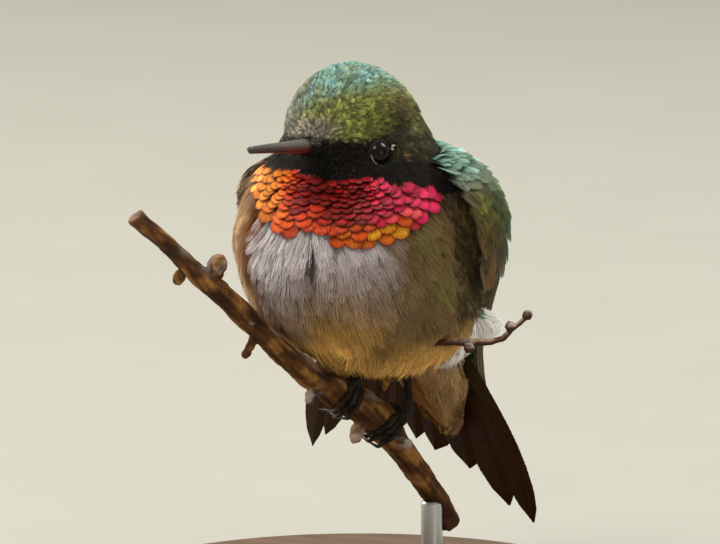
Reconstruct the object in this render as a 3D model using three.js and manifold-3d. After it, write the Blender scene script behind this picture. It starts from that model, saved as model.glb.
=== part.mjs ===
// A perched male ruby-throated hummingbird at life size, on a cut length of branch
// that a flat base and a short rod hold up. Millimetres, +Z up. The origin is the
// centre of the base's underside. The bird faces -Y and its left side is at +X.
import * as THREE from 'three';
import { mergeVertices } from 'three/addons/utils/BufferGeometryUtils.js';
import Module from 'manifold-3d';

const wasm = await Module();
wasm.setup();

// Driving dimensions
const GAP = 0.3; // clearance between neighbouring solids
const BODY_HEIGHT = 36; // height of the trunk's middle above the floor
const BILL_LENGTH = 14.8;
const HEAD_YAW = 4; // degrees that the head turns to the bird's right
const HEAD_PITCH = 8; // degrees that the bill points up
const BILL_BASE = new THREE.Vector3(-0.9, -12.0, 14.5);
const EYE_RADIUS = 1.35;
const EYE_IN_HEAD = new THREE.Vector3(4.8, 5.2, -0.15);
const TAIL_BASE = new THREE.Vector3(1.6, 8.5, -5.3);
const TAIL_PITCH = 61; // degrees that the tail points below the horizontal
const TAIL_ROLL = 19; // degrees that the fan turns about its own length
const FEATHER_THICKNESS = 0.6;
const TOE_RADIUS = 0.28;
const TUFT_CENTRE = [10.9, 4.6, -5.7]; // of the left flank's white tuft
const TUFT_SIZE = [2.4, 2.2, 1.3]; // half sizes
const TUFT_SLOPE = -12; // degrees
const BILL_WIDTHS = [0.86, 0.3]; // half widths at the base and the tip
const UPPER_BILL_DEPTH = 0.78; // at the base
const LOWER_BILL_DEPTH = 0.66;
const BILL_TIP_DEPTH = 0.28;
const BILL_DROOP = 0.25; // of the tip below the straight line
const ANKLE_RISE = 0.8; // of the shin's end above the toes' middle lines
const CLAW_SWEEP = 0.8; // radians of each claw round the branch
const BASE_RADIUS = 27;
const BASE_THICKNESS = 4;
const BASE_BEVEL = 0.8;
const ROD_RADIUS = 1.1;
const ROD_AT = 0.9; // share of the branch's length where the rod holds it
const SOCKET_DEPTH = 2; // of the rod in the base

// Numbers of facets round each kind of solid
const TRUNK_SIDES = 26;
const HEAD_SIDES = 20;
const COVERT_SIDES = 16;
const BASE_SIDES = 36;
const ROD_SIDES = 16;
const BRANCH_SIDES = 8;
const LEG_SIDES = 8;
const THIN_SIDES = 6; // the twig, the buds and the toes
const CLAW_SIDES = 5;

// Planes that part the body and the wings: a point on each and its normal.
const CUTS = {
  headFromNeck: [[0, -3, 11.9], [0, -0.1, 1]],
  neckFromTrunk: [[0, -13.7, 4.6], [0, -0.3, 1]],
  napeFromThroat: [[0, -1.5, 9], [0, 1, 0]],
  backFromFront: [[0, 3.5, 0], [0, 1, 0.35]],
  breastFromBelly: [[0, -8, -2.5], [0, -0.45, 1]],
  coversFromWing: [[0, 0, 4.5], [0, -0.45, 1]],
  primariesFromWing: [[0, 9, -6], [0, -0.6, 1]],
};
const RUMP_CUT = -1.2; // the plane across the tail's line that parts the rump from the trunk

// Colours
const COLOURS = {
  crown: 0x4f6b35, gorget: 0xc8321e, nape: 0x46602f, breast: 0xb9ae9f, belly: 0x9a7f58,
  back: 0x3c6b4c, coverts: 0xc9b48c, tuft: 0xf0eeea, wing: 0x2c2622, tail: 0x241c18, bill: 0x161416,
  eye: 0x080808, leg: 0x2b2426, claw: 0x121012, bark: 0x5a4236, wood: 0x4a3425, steel: 0xb8bcc0,
};

const group = new THREE.Group();
const bird = new THREE.Group();
bird.position.z = BODY_HEIGHT;
group.add(bird);

// ---------------------------------------------------------------- helpers

function toSolid(geometry) {
  const plain = geometry.clone();
  plain.deleteAttribute('normal');
  plain.deleteAttribute('uv');
  const merged = mergeVertices(plain, 1e-4);
  return new wasm.Manifold(new wasm.Mesh({
    numProp: 3,
    vertProperties: new Float32Array(merged.attributes.position.array),
    triVerts: new Uint32Array(merged.index.array),
  }));
}

function toGeometry(solid) {
  const mesh = solid.getMesh();
  const geometry = new THREE.BufferGeometry();
  geometry.setAttribute('position', new THREE.BufferAttribute(new Float32Array(mesh.vertProperties), 3));
  geometry.setIndex(new THREE.BufferAttribute(new Uint32Array(mesh.triVerts), 1));
  geometry.computeVertexNormals();
  return geometry;
}

function place(parent, name, solid, colour, roughness = 0.8, metalness = 0) {
  const material = new THREE.MeshStandardMaterial({ color: colour, roughness, metalness });
  const mesh = new THREE.Mesh(toGeometry(solid), material);
  mesh.name = name;
  parent.add(mesh);
}

// A closed skin over a row of rings, with a fan of triangles over each end.
function skinOver(rings) {
  const count = rings[0].length;
  const positions = [];
  const index = [];
  rings.forEach((ring) => ring.forEach((p) => positions.push(p.x, p.y, p.z)));
  for (let i = 0; i < rings.length - 1; i += 1) {
    for (let j = 0; j < count; j += 1) {
      const a = i * count + j;
      const b = i * count + (j + 1) % count;
      index.push(a, b, a + count, b, b + count, a + count);
    }
  }
  [0, rings.length - 1].forEach((row) => {
    const centre = new THREE.Vector3();
    rings[row].forEach((p) => centre.add(p));
    centre.divideScalar(count);
    const tip = positions.length / 3;
    positions.push(centre.x, centre.y, centre.z);
    for (let j = 0; j < count; j += 1) {
      const a = row * count + j;
      const b = row * count + (j + 1) % count;
      index.push(...(row === 0 ? [b, a, tip] : [a, b, tip]));
    }
  });
  const geometry = new THREE.BufferGeometry();
  geometry.setAttribute('position', new THREE.Float32BufferAttribute(positions, 3));
  geometry.setIndex(index);
  const solid = toSolid(geometry);
  if (solid.volume() > 0) return solid;
  geometry.setIndex(index.map((_, i) => index[i - (i % 3) + 2 - (i % 3)]));
  return toSolid(geometry);
}

// Rows between those of a table, by smooth curves.
function sampleRows(rows, steps) {
  const out = [];
  for (let k = 0; k <= steps; k += 1) {
    const t = (k / steps) * (rows.length - 1);
    const i = Math.min(Math.floor(t), rows.length - 2);
    const f = t - i;
    out.push(rows[i].map((_, c) => {
      const p = [i - 1, i, i + 1, i + 2].map((n) => rows[Math.max(0, Math.min(rows.length - 1, n))][c]);
      return 0.5 * ((2 * p[1]) + (p[2] - p[0]) * f
        + (2 * p[0] - 5 * p[1] + 4 * p[2] - p[3]) * f * f
        + (3 * p[1] - p[0] - 3 * p[2] + p[3]) * f * f * f);
    }));
  }
  return out;
}

// A round bar along a smooth path; each path point is [x, y, z, radius].
function barAlong(points, sides, steps, flat = 1) {
  const rows = sampleRows(points, steps);
  const centres = rows.map((r) => new THREE.Vector3(r[0], r[1], r[2]));
  let side = new THREE.Vector3(0, 0, 1);
  const rings = centres.map((centre, i) => {
    const before = centres[Math.max(0, i - 1)];
    const after = centres[Math.min(centres.length - 1, i + 1)];
    const tangent = after.clone().sub(before).normalize();
    side.sub(tangent.clone().multiplyScalar(side.dot(tangent)));
    if (side.length() < 0.05) side = new THREE.Vector3(1, 0, 0).cross(tangent);
    side.normalize();
    const other = tangent.clone().cross(side);
    const ring = [];
    for (let j = 0; j < sides; j += 1) {
      const angle = (j / sides) * Math.PI * 2;
      ring.push(centre.clone()
        .addScaledVector(side, Math.cos(angle) * rows[i][3] * flat)
        .addScaledVector(other, Math.sin(angle) * rows[i][3]));
    }
    return ring;
  });
  return skinOver(rings);
}

function ball(centre, radius, wide = 10, high = 7) {
  const geometry = new THREE.SphereGeometry(radius, wide, high);
  geometry.translate(centre.x, centre.y, centre.z);
  return toSolid(geometry);
}

// The two parts of a solid on either side of a plane, with the gap between them.
function splitBy(solid, point, normal) {
  const far = 200;
  const direction = new THREE.Vector3(...normal).normalize();
  const turn = new THREE.Quaternion().setFromUnitVectors(new THREE.Vector3(0, 0, 1), direction);
  const origin = new THREE.Vector3(...point);
  return [1, -1].map((sign) => {
    const box = new THREE.BoxGeometry(far, far, far);
    box.translate(0, 0, sign * (far / 2 + GAP / 2));
    box.applyQuaternion(turn);
    box.translate(origin.x, origin.y, origin.z);
    return solid.intersect(toSolid(box));
  });
}

// ---------------------------------------------------------------- head

const headTurn = new THREE.Matrix4()
  .makeTranslation(BILL_BASE.x, BILL_BASE.y, BILL_BASE.z)
  .multiply(new THREE.Matrix4().makeRotationZ(THREE.MathUtils.degToRad(-HEAD_YAW)))
  .multiply(new THREE.Matrix4().makeRotationX(THREE.MathUtils.degToRad(-HEAD_PITCH)));

// Cross-sections of the head from the feathered bill base to the nape:
// distance back from the bill base, half width, top and bottom.
const HEAD_SECTIONS = [
  [0.3, 1.1, 1.0, -1.0],
  [1.2, 2.6, 2.7, -2.3],
  [2.8, 4.1, 4.9, -3.8],
  [4.8, 5.4, 6.9, -4.9],
  [7.2, 6.3, 8.2, -5.8],
  [9.7, 6.8, 8.7, -6.4],
  [12.2, 7.0, 8.3, -6.6],
  [14.6, 6.5, 7.0, -6.2],
  [16.6, 5.1, 4.9, -5.2],
  [18.0, 2.6, 2.0, -3.2],
];

function headSolid() {
  const sides = HEAD_SIDES;
  const rings = sampleRows(HEAD_SECTIONS, 12).map(([back, half, top, bottom]) => {
    const ring = [];
    for (let j = 0; j < sides; j += 1) {
      const angle = (j / sides) * Math.PI * 2;
      const height = (top + bottom) / 2 + Math.sin(angle) * (top - bottom) / 2;
      ring.push(new THREE.Vector3(Math.cos(angle) * half, back, height).applyMatrix4(headTurn));
    }
    return ring;
  });
  return skinOver(rings);
}

function eyeCentre(side) {
  const centre = EYE_IN_HEAD.clone();
  centre.x *= side;
  return centre.applyMatrix4(headTurn);
}

// One mandible: a half-round tapering bar from the bill base to the tip.
function mandibleSolid(upper) {
  const halfRound = 7;
  const stations = 9;
  const seam = upper ? 0.1 : -0.1;
  const rings = [];
  for (let i = 0; i <= stations; i += 1) {
    const f = i / stations;
    const taper = Math.pow(f, 0.8);
    const width = THREE.MathUtils.lerp(BILL_WIDTHS[0], BILL_WIDTHS[1], taper);
    const depth = THREE.MathUtils.lerp(upper ? UPPER_BILL_DEPTH : LOWER_BILL_DEPTH, BILL_TIP_DEPTH, taper);
    const droop = -BILL_DROOP * f * f;
    const length = f * (upper ? BILL_LENGTH : BILL_LENGTH - 0.4);
    const ring = [];
    for (let j = 0; j <= halfRound; j += 1) {
      const angle = (j / halfRound) * Math.PI;
      const height = seam + Math.sin(angle) * depth * (upper ? 1 : -1);
      const point = new THREE.Vector3(Math.cos(angle) * width, -0.05 - length, height + droop);
      ring.push(point.applyMatrix4(headTurn));
    }
    rings.push(ring);
  }
  return skinOver(rings);
}

// ---------------------------------------------------------------- trunk

// Level sections of the fluffed trunk: height, middle's shift to the bird's left,
// half width, front and back.
const TRUNK_SECTIONS = [
  [17.4, 0.4, 4.6, -6.6, 3.4],
  [15.6, 0.5, 6.2, -8.4, 5.4],
  [13.4, 0.4, 7.5, -9.9, 6.9],
  [10.6, -0.2, 9.5, -11.8, 8.4],
  [7.5, -0.4, 11.2, -13.3, 9.5],
  [4.5, -0.5, 11.8, -14.0, 10.0],
  [1.5, -0.4, 11.9, -13.9, 10.5],
  [-1.5, 0.0, 11.8, -12.9, 11.2],
  [-4.2, 0.5, 11.4, -11.0, 11.6],
  [-6.5, 0.9, 10.3, -8.4, 11.6],
  [-8.4, 1.2, 8.4, -5.2, 11.0],
  [-9.7, 1.4, 5.8, -2.0, 9.6],
  [-10.3, 1.5, 2.6, 1.2, 7.0],
];

function trunkSolid(extra = 0) {
  const sides = TRUNK_SIDES;
  const rings = sampleRows(TRUNK_SECTIONS, 18).map(([height, shift, half, front, back]) => {
    const middle = (front + back) / 2;
    const deep = (back - front) / 2;
    const ring = [];
    for (let j = 0; j < sides; j += 1) {
      const angle = (j / sides) * Math.PI * 2;
      const c = Math.cos(angle);
      const s = Math.sin(angle);
      const square = s > 0 ? 0.86 : 1; // the back is broader than the breast
      const x = Math.sign(c) * Math.pow(Math.abs(c), square) * (half + extra);
      const y = Math.sign(s) * Math.pow(Math.abs(s), square) * (deep + extra);
      const z = height + (height < 0 ? -extra : extra);
      ring.push(new THREE.Vector3(shift + x, middle + y, z));
    }
    return ring;
  });
  return skinOver(rings);
}

// ---------------------------------------------------------------- tail

// The fan's own directions: along the tail, across it to the bird's left, and
// out of its underside.
const tailPitch = THREE.MathUtils.degToRad(TAIL_PITCH);
const tailAlong = new THREE.Vector3(0, Math.cos(tailPitch), -Math.sin(tailPitch));
const tailAcross = new THREE.Vector3(1, 0, 0)
  .applyAxisAngle(tailAlong, THREE.MathUtils.degToRad(TAIL_ROLL));
const tailUnder = tailAlong.clone().cross(tailAcross);

function tailPoint(along, across, under) {
  return TAIL_BASE.clone()
    .addScaledVector(tailAlong, along)
    .addScaledVector(tailAcross, across)
    .addScaledVector(tailUnder, under);
}

// Tips of the ten tail feathers, from the bird's right outer one to its left
// outer one: distance along the tail and across it.
const RECTRIX_TIPS = [
  [23.2, -16.5], [21.0, -14.4], [17.4, -10.8], [17.0, -7.4], [17.0, -4.4],
  [17.3, -2.0], [18.0, 0.3], [18.9, 4.6], [22.3, 9.0], [23.5, 11.9],
];
const RECTRIX_NAMES = ['right_5', 'right_4', 'right_3', 'right_2', 'right_1',
  'left_1', 'left_2', 'left_3', 'left_4', 'left_5'];
const QUILL_SPACING = 0.9;
const OUTER_VANE = 1.9;

function quillAcross(i) {
  return (i - (RECTRIX_TIPS.length - 1) / 2) * QUILL_SPACING;
}

// Where the shaft of feather i lies across the tail at a distance along it.
function shaftAcross(i, along) {
  const [tipAlong, tipAcross] = RECTRIX_TIPS[i];
  const start = quillAcross(i);
  const f = along / tipAlong;
  const bow = start * 0.35 * Math.sin(Math.PI * Math.min(1, Math.max(0, f)));
  return start + (tipAcross - start) * f + bow;
}

// A tail feather's vane: a thin plate whose edges lie midway to its neighbours.
function rectrixSolid(i) {
  const last = RECTRIX_TIPS.length - 1;
  const tipAlong = RECTRIX_TIPS[i][0];
  const edge = (along, side, share) => {
    const own = shaftAcross(i, along);
    const neighbour = i + side;
    const open = Math.min(1, 0.35 + along / 6);
    const reach = neighbour < 0 || neighbour > last
      ? own + side * OUTER_VANE * open
      : (own + shaftAcross(neighbour, along)) / 2 - side * GAP / 2;
    return own + (reach - own) * share;
  };
  const stops = [[0, 1], [0.2, 1], [0.4, 1], [0.6, 1], [0.78, 0.95], [0.9, 0.62]];
  const outline = stops.map(([f, share]) => [f * tipAlong, edge(f * tipAlong, 1, share)]);
  outline.push([tipAlong, shaftAcross(i, tipAlong)]);
  [...stops].reverse().forEach(([f, share]) => outline.push([f * tipAlong, edge(f * tipAlong, -1, share)]));
  const rings = [-1, 1].map((face) => outline
    .map(([along, across]) => tailPoint(along, across, face * FEATHER_THICKNESS / 2)));
  return prismBetween(rings[0], rings[1]);
}

// A solid between two matching flat outlines in the fan's plane; the second lies
// further out of the tail's underside.
function prismBetween(lower, upper) {
  const flatten = (p) => {
    const from = p.clone().sub(TAIL_BASE);
    return new THREE.Vector2(from.dot(tailAlong), from.dot(tailAcross));
  };
  if (THREE.ShapeUtils.area(lower.map(flatten)) < 0) {
    lower.reverse();
    upper.reverse();
  }
  const count = lower.length;
  const faces = THREE.ShapeUtils.triangulateShape(lower.map(flatten), []);
  const index = [];
  faces.forEach(([a, b, c]) => index.push(a + count, b + count, c + count, c, b, a));
  for (let j = 0; j < count; j += 1) {
    const k = (j + 1) % count;
    index.push(j, k, k + count, j, k + count, j + count);
  }
  const geometry = new THREE.BufferGeometry();
  const positions = [...lower, ...upper].flatMap((p) => [p.x, p.y, p.z]);
  geometry.setAttribute('position', new THREE.Float32BufferAttribute(positions, 3));
  geometry.setIndex(index);
  return toSolid(geometry);
}

// The tail's coverts and the rump round the quills: distance along the tail,
// middle across it, half width, depth under the fan and depth over it.
const COVERT_SECTIONS = [
  [-6.0, 0.6, 7.6, 5.6, 5.2],
  [-3.0, 0.8, 7.4, 5.8, 4.8],
  [0.0, 1.0, 6.9, 5.4, 4.0],
  [3.0, 1.4, 6.2, 4.5, 3.0],
  [6.0, 2.0, 5.2, 3.5, 2.0],
  [9.0, 2.6, 4.0, 2.6, 1.2],
  [12.0, 3.2, 2.4, 1.7, 0.7],
  [14.0, 3.8, 0.9, 0.9, 0.5],
];

function covertSolid(extra = 0) {
  const sides = COVERT_SIDES;
  const rings = sampleRows(COVERT_SECTIONS, 8).map(([along, middle, half, under, over]) => {
    const ring = [];
    for (let j = 0; j < sides; j += 1) {
      const angle = (j / sides) * Math.PI * 2;
      const depth = (Math.sin(angle) > 0 ? under : over) + extra;
      const across = middle + Math.cos(angle) * (half + extra);
      ring.push(tailPoint(along, across, Math.sin(angle) * depth));
    }
    return ring;
  });
  return skinOver(rings);
}

// The thin wedge-shaped space that the fan of tail feathers needs.
function fanSpace() {
  const half = FEATHER_THICKNESS / 2 + GAP;
  const outline = [[-4, -30], [30, -30], [30, 30], [-4, 30]];
  const rings = [-1, 1].map((face) => outline
    .map(([along, across]) => tailPoint(along, across, face * half)));
  return prismBetween(rings[0], rings[1]);
}

// ---------------------------------------------------------------- wings

// The left wing's front edge and rear edge from the shoulder to the tip, and how
// far its outer face swells and how thick it is.
const WING_FRONT = [
  [8.4, -2.0, 12.2], [11.8, -2.4, 9.2], [12.9, -0.6, 5.0], [12.2, 2.0, 0.0],
  [10.5, 5.6, -5.4], [8.0, 11.8, -11.0], [5.4, 22.4, -17.0],
];
const WING_REAR = [
  [4.2, 5.6, 12.9], [8.0, 9.4, 10.4], [9.2, 11.8, 6.0], [8.2, 13.4, 1.0],
  [6.4, 15.4, -3.6], [5.2, 19.0, -9.0], [4.6, 24.6, -16.2],
];
const WING_SWELL = [1.5, 2.1, 2.3, 2.1, 1.6, 0.9, 0.3];
const WING_THICK = [1.6, 2.6, 2.8, 2.4, 1.8, 1.2, 0.7];

// The right wing is folded a little higher, clear of the rolled tail: how far back
// and up each of its rows moves.
const RIGHT_WING_LIFT = [
  [0, 0], [0, 0], [0.4, 0], [1.2, 0.1], [3.0, 0.6], [5.4, 1.4], [5.0, 2.8],
];

function wingSolid(side, extra = 0) {
  const across = 6;
  const rows = WING_FRONT.map((front, i) => {
    const [backward, upward] = side < 0 ? RIGHT_WING_LIFT[i] : [0, 0];
    const lift = (point) => [point[0], point[1] + backward, point[2] + upward];
    return [...lift(front), ...lift(WING_REAR[i]), WING_SWELL[i], WING_THICK[i]];
  });
  const rings = sampleRows(rows, 13).map((row) => {
    const front = new THREE.Vector3(row[0], row[1], row[2]);
    const rear = new THREE.Vector3(row[3], row[4], row[5]);
    const chord = rear.clone().sub(front);
    front.addScaledVector(chord, -extra / chord.length());
    chord.setLength(chord.length() + 2 * extra);
    const outward = new THREE.Vector3(chord.y, -chord.x, 0).normalize();
    const ring = [];
    const addPoint = (f, depth) => {
      const round = Math.sqrt(Math.max(0, Math.sin(Math.PI * f)));
      const swell = row[6] * Math.sin(Math.PI * f) + extra;
      const thick = row[7] * (0.25 + 0.75 * round) + 2 * extra;
      const point = front.clone().addScaledVector(chord, f)
        .addScaledVector(outward, swell - depth * thick);
      point.x *= side;
      ring.push(point);
    };
    for (let j = 0; j <= across; j += 1) addPoint(j / across, 0);
    for (let j = across; j >= 0; j -= 1) addPoint(j / across, 1);
    return ring;
  });
  return skinOver(rings);
}

// ---------------------------------------------------------------- perch

// The branch's middle line and radius, from its upper cut end to its lower one.
const BRANCH = [
  [-16.4, -19.8, 7.9, 0.9],
  [-12.7, -16.9, 3.4, 0.9],
  [-10.0, -14.6, 0.2, 1.2],
  [-6.8, -10.4, -4.6, 1.1],
  [-4.0, -6.9, -8.7, 1.2],
  [-0.7, -2.6, -12.3, 1.7],
  [1.5, 0.4, -14.6, 1.9],
  [3.0, 3.6, -18.5, 1.35],
  [5.0, 6.7, -22.9, 1.25],
  [6.5, 9.2, -27.0, 1.1],
];

// Side stubs and buds: a start on the branch, an end, and the two radii.
const STUBS = [
  [[-10.2, -14.8, 0.5], [-9.4, -15.4, 2.8], 0.7, 1.05],
  [[-12.2, -16.4, 2.7], [-13.4, -16.2, 0.9], 0.6, 0.45],
  [[-7.0, -10.8, -4.7], [-8.2, -10.6, -7.1], 0.6, 0.5],
  [[-7.2, -11.0, -4.3], [-6.7, -12.6, -3.7], 0.6, 0.5],
  [[-2.6, -5.2, -10.6], [-3.0, -6.2, -12.0], 0.75, 0.55],
  [[0.6, -0.9, -14.6], [0.5, -2.5, -16.4], 0.8, 0.65],
  [[2.8, 2.8, -17.8], [4.5, 1.4, -17.4], 0.6, 0.6],
];

// The thin side twig: it leaves the branch by the feet and passes the left flank.
const TWIG = [
  [1.6, 0.2, -13.6, 0.5],
  [3.0, -0.6, -10.6, 0.45],
  [5.8, -2.0, -7.6, 0.4],
  [9.4, -3.4, -6.0, 0.38],
  [12.4, -2.3, -6.0, 0.42],
  [14.8, -0.4, -6.0, 0.34],
  [16.0, 0.4, -4.9, 0.3],
  [17.3, 1.2, -3.6, 0.3],
];
const TWIG_BUDS = [[12.5, -2.6, -6.5, 0.62], [15.9, 0.2, -4.6, 0.62], [17.3, 1.2, -3.5, 0.6]];

function branchSolid(extra = 0) {
  const grown = BRANCH.map(([x, y, z, r]) => [x, y, z, r + extra]);
  let solid = barAlong(grown, BRANCH_SIDES, 13);
  STUBS.forEach(([start, end, r0, r1]) => {
    const middle = start.map((v, k) => (v + end[k]) / 2);
    const path = [[...start, r0 + extra], [...middle, (r0 + r1) / 2 + extra], [...end, r1 + extra]];
    solid = solid.add(barAlong(path, THIN_SIDES, 2));
    solid = solid.add(ball(new THREE.Vector3(...end), r1 + extra, THIN_SIDES, 4));
  });
  return solid;
}

function twigSolid(extra = 0) {
  const grown = TWIG.map(([x, y, z, r]) => [x, y, z, r + extra]);
  let solid = barAlong(grown, THIN_SIDES, 12);
  TWIG_BUDS.forEach(([x, y, z, r]) => {
    solid = solid.add(ball(new THREE.Vector3(x, y, z), r + extra, THIN_SIDES, 4));
  });
  return solid;
}

// ---------------------------------------------------------------- feet

// Each foot stands on the branch at a share of the way along it.
const FEET = [
  { name: 'right', at: 0.545, hip: [-1.9, 0.2, -8.0] },
  { name: 'left', at: 0.685, hip: [3.6, 2.6, -8.6] },
];

function branchAt(share) {
  const rows = sampleRows(BRANCH, 100);
  const k = Math.round(share * 100);
  const here = new THREE.Vector3(rows[k][0], rows[k][1], rows[k][2]);
  const next = new THREE.Vector3(rows[k + 1][0], rows[k + 1][1], rows[k + 1][2]);
  const along = next.sub(here).normalize();
  const front = new THREE.Vector3(0, -1, 0);
  front.sub(along.clone().multiplyScalar(front.dot(along))).normalize();
  const top = along.clone().cross(front);
  if (top.z < 0) top.negate();
  return { here, along, front, top, radius: rows[k][3] };
}

// A point on a circle round the branch: angle from its top towards its front.
function roundBranch(spot, offset, angle, distance) {
  return spot.here.clone()
    .addScaledVector(spot.along, offset)
    .addScaledVector(spot.top, Math.cos(angle) * distance)
    .addScaledVector(spot.front, Math.sin(angle) * distance);
}

const TOES = [
  { name: 'inner', offset: -0.85, from: 0.25, to: 1.75 },
  { name: 'middle', offset: 0, from: 0.25, to: 2.0 },
  { name: 'outer', offset: 0.85, from: 0.25, to: 1.7 },
  { name: 'hind', offset: 0, from: -0.25, to: -1.6 },
];

function toeSolid(spot, toe) {
  const distance = spot.radius + GAP + TOE_RADIUS;
  const path = [0, 0.33, 0.67, 1].map((f) => {
    const angle = toe.from + (toe.to - toe.from) * f;
    const point = roundBranch(spot, toe.offset * (0.8 + 0.2 * f), angle, distance);
    return [point.x, point.y, point.z, TOE_RADIUS * (1.05 - 0.15 * f)];
  });
  return barAlong(path, THIN_SIDES, 5);
}

function clawSolid(spot, toe) {
  const distance = spot.radius + GAP + TOE_RADIUS;
  const turn = Math.sign(toe.to) * (0.2 + TOE_RADIUS) / distance;
  const path = [0, 0.5, 1].map((f) => {
    const angle = toe.to + turn + Math.sign(toe.to) * f * CLAW_SWEEP;
    const point = roundBranch(spot, toe.offset, angle, distance + 0.15 - 0.1 * f);
    return [point.x, point.y, point.z, 0.27 - 0.12 * f];
  });
  return barAlong(path, CLAW_SIDES, 4);
}

function tarsusSolid(spot, hip) {
  const distance = spot.radius + GAP + TOE_RADIUS + ANKLE_RISE;
  const ankle = roundBranch(spot, 0, 0, distance);
  const path = [[...hip, 0.55], [
    (hip[0] + ankle.x) / 2, (hip[1] + ankle.y) / 2 + 0.5, (hip[2] + ankle.z) / 2, 0.42,
  ], [ankle.x, ankle.y, ankle.z, 0.4]];
  return barAlong(path, LEG_SIDES, 6);
}

// The space that a shin and its ankle need in the belly.
function tarsusRoom(foot) {
  const spot = branchAt(foot.at);
  const ankle = roundBranch(spot, 0, 0, spot.radius + GAP + TOE_RADIUS + ANKLE_RISE - 0.15);
  const [x, y, z] = foot.hip;
  const path = [[x, y, z + 0.6, 1.15], [
    (x + ankle.x) / 2, (y + ankle.y) / 2 + 0.5, (z + ankle.z) / 2, 0.95,
  ], [ankle.x, ankle.y, ankle.z, 0.9]];
  return barAlong(path, LEG_SIDES, 6);
}

// ---------------------------------------------------------------- assembly

function addHead(head) {
  let skull = head;
  [-1, 1].forEach((side) => {
    skull = skull.subtract(ball(eyeCentre(side), EYE_RADIUS + GAP));
  });
  place(bird, 'head', skull, COLOURS.crown);
  place(bird, 'eye_right', ball(eyeCentre(-1), EYE_RADIUS), COLOURS.eye, 0.1);
  place(bird, 'eye_left', ball(eyeCentre(1), EYE_RADIUS), COLOURS.eye, 0.1);
  place(bird, 'bill_upper', mandibleSolid(true), COLOURS.bill, 0.35);
  place(bird, 'bill_lower', mandibleSolid(false), COLOURS.bill, 0.35);
}

// How far a solid's middle lies below the fan of tail feathers.
function depthUnderTail(solid) {
  const { min, max } = solid.boundingBox();
  const middle = new THREE.Vector3(...min).add(new THREE.Vector3(...max)).multiplyScalar(0.5);
  return middle.sub(TAIL_BASE).dot(tailUnder);
}

function largestPart(solid) {
  return solid.decompose().sort((a, b) => b.volume() - a.volume())[0];
}

function addBody() {
  const legs = FEET.map((foot) => tarsusRoom(foot));
  let whole = headSolid().add(trunkSolid()).add(covertSolid());
  whole = whole.subtract(twigSolid(GAP)).subtract(branchSolid(GAP));
  legs.forEach((leg) => {
    whole = whole.subtract(leg);
  });
  const [head, belowHead] = splitBy(whole, ...CUTS.headFromNeck);
  const [collar, rest] = splitBy(belowHead, ...CUTS.neckFromTrunk);
  const [nape, throat] = splitBy(collar, ...CUTS.napeFromThroat);
  const [rump, trunk] = splitBy(rest, tailPoint(RUMP_CUT, 0, 0).toArray(), tailAlong.toArray());
  const [back, front] = splitBy(trunk, ...CUTS.backFromFront);
  const [breast, belly] = splitBy(front, ...CUTS.breastFromBelly);
  const halves = rump.subtract(fanSpace()).decompose();
  const large = halves.filter((solid) => solid.volume() > 1)
    .sort((a, b) => depthUnderTail(b) - depthUnderTail(a));
  addHead(head);
  place(bird, 'throat_gorget', throat, COLOURS.gorget, 0.4);
  place(bird, 'neck', nape, COLOURS.nape);
  place(bird, 'breast', breast, COLOURS.breast);
  place(bird, 'belly', belly, COLOURS.belly);
  place(bird, 'back', back, COLOURS.back, 0.5);
  place(bird, 'undertail_coverts', large[0], COLOURS.coverts);
  place(bird, 'uppertail_coverts', large[large.length - 1], COLOURS.back, 0.5);
}

// The white tuft that shows between each flank and the wing's front edge.
function flankTuftSolid(side) {
  const geometry = new THREE.SphereGeometry(1, 12, 8);
  geometry.scale(...TUFT_SIZE);
  geometry.rotateY(side * THREE.MathUtils.degToRad(TUFT_SLOPE));
  geometry.translate(side * TUFT_CENTRE[0], TUFT_CENTRE[1], TUFT_CENTRE[2]);
  const room = trunkSolid(GAP).add(wingSolid(side, GAP)).add(twigSolid(GAP));
  return largestPart(toSolid(geometry).subtract(room));
}

function addWings() {
  const room = headSolid().add(trunkSolid(GAP)).add(covertSolid(GAP));
  [['right', -1], ['left', 1]].forEach(([name, side]) => {
    const wing = wingSolid(side).subtract(room);
    const [upper, lower] = splitBy(wing, ...CUTS.coversFromWing);
    const [middle, tip] = splitBy(lower, ...CUTS.primariesFromWing);
    place(bird, `flank_tuft_${name}`, flankTuftSolid(side), COLOURS.tuft);
    place(bird, `wing_${name}_coverts`, largestPart(upper), COLOURS.back, 0.5);
    place(bird, `wing_${name}_secondaries`, largestPart(middle), COLOURS.wing);
    place(bird, `wing_${name}_primaries`, largestPart(tip), COLOURS.wing);
  });
}

function addTail() {
  RECTRIX_NAMES.forEach((name, i) => {
    place(bird, `tail_feather_${name}`, rectrixSolid(i), COLOURS.tail);
  });
}

function addFeet() {
  FEET.forEach((foot) => {
    const spot = branchAt(foot.at);
    place(bird, `leg_${foot.name}`, tarsusSolid(spot, foot.hip), COLOURS.leg);
    TOES.forEach((toe) => {
      place(bird, `toe_${foot.name}_${toe.name}`, toeSolid(spot, toe), COLOURS.leg);
      place(bird, `claw_${foot.name}_${toe.name}`, clawSolid(spot, toe), COLOURS.claw, 0.4);
    });
  });
}

function addPerch() {
  place(bird, 'perch_branch', branchSolid(), COLOURS.bark, 0.9);
  place(bird, 'perch_twig', twigSolid().subtract(branchSolid(GAP)), COLOURS.bark, 0.9);
}

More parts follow.
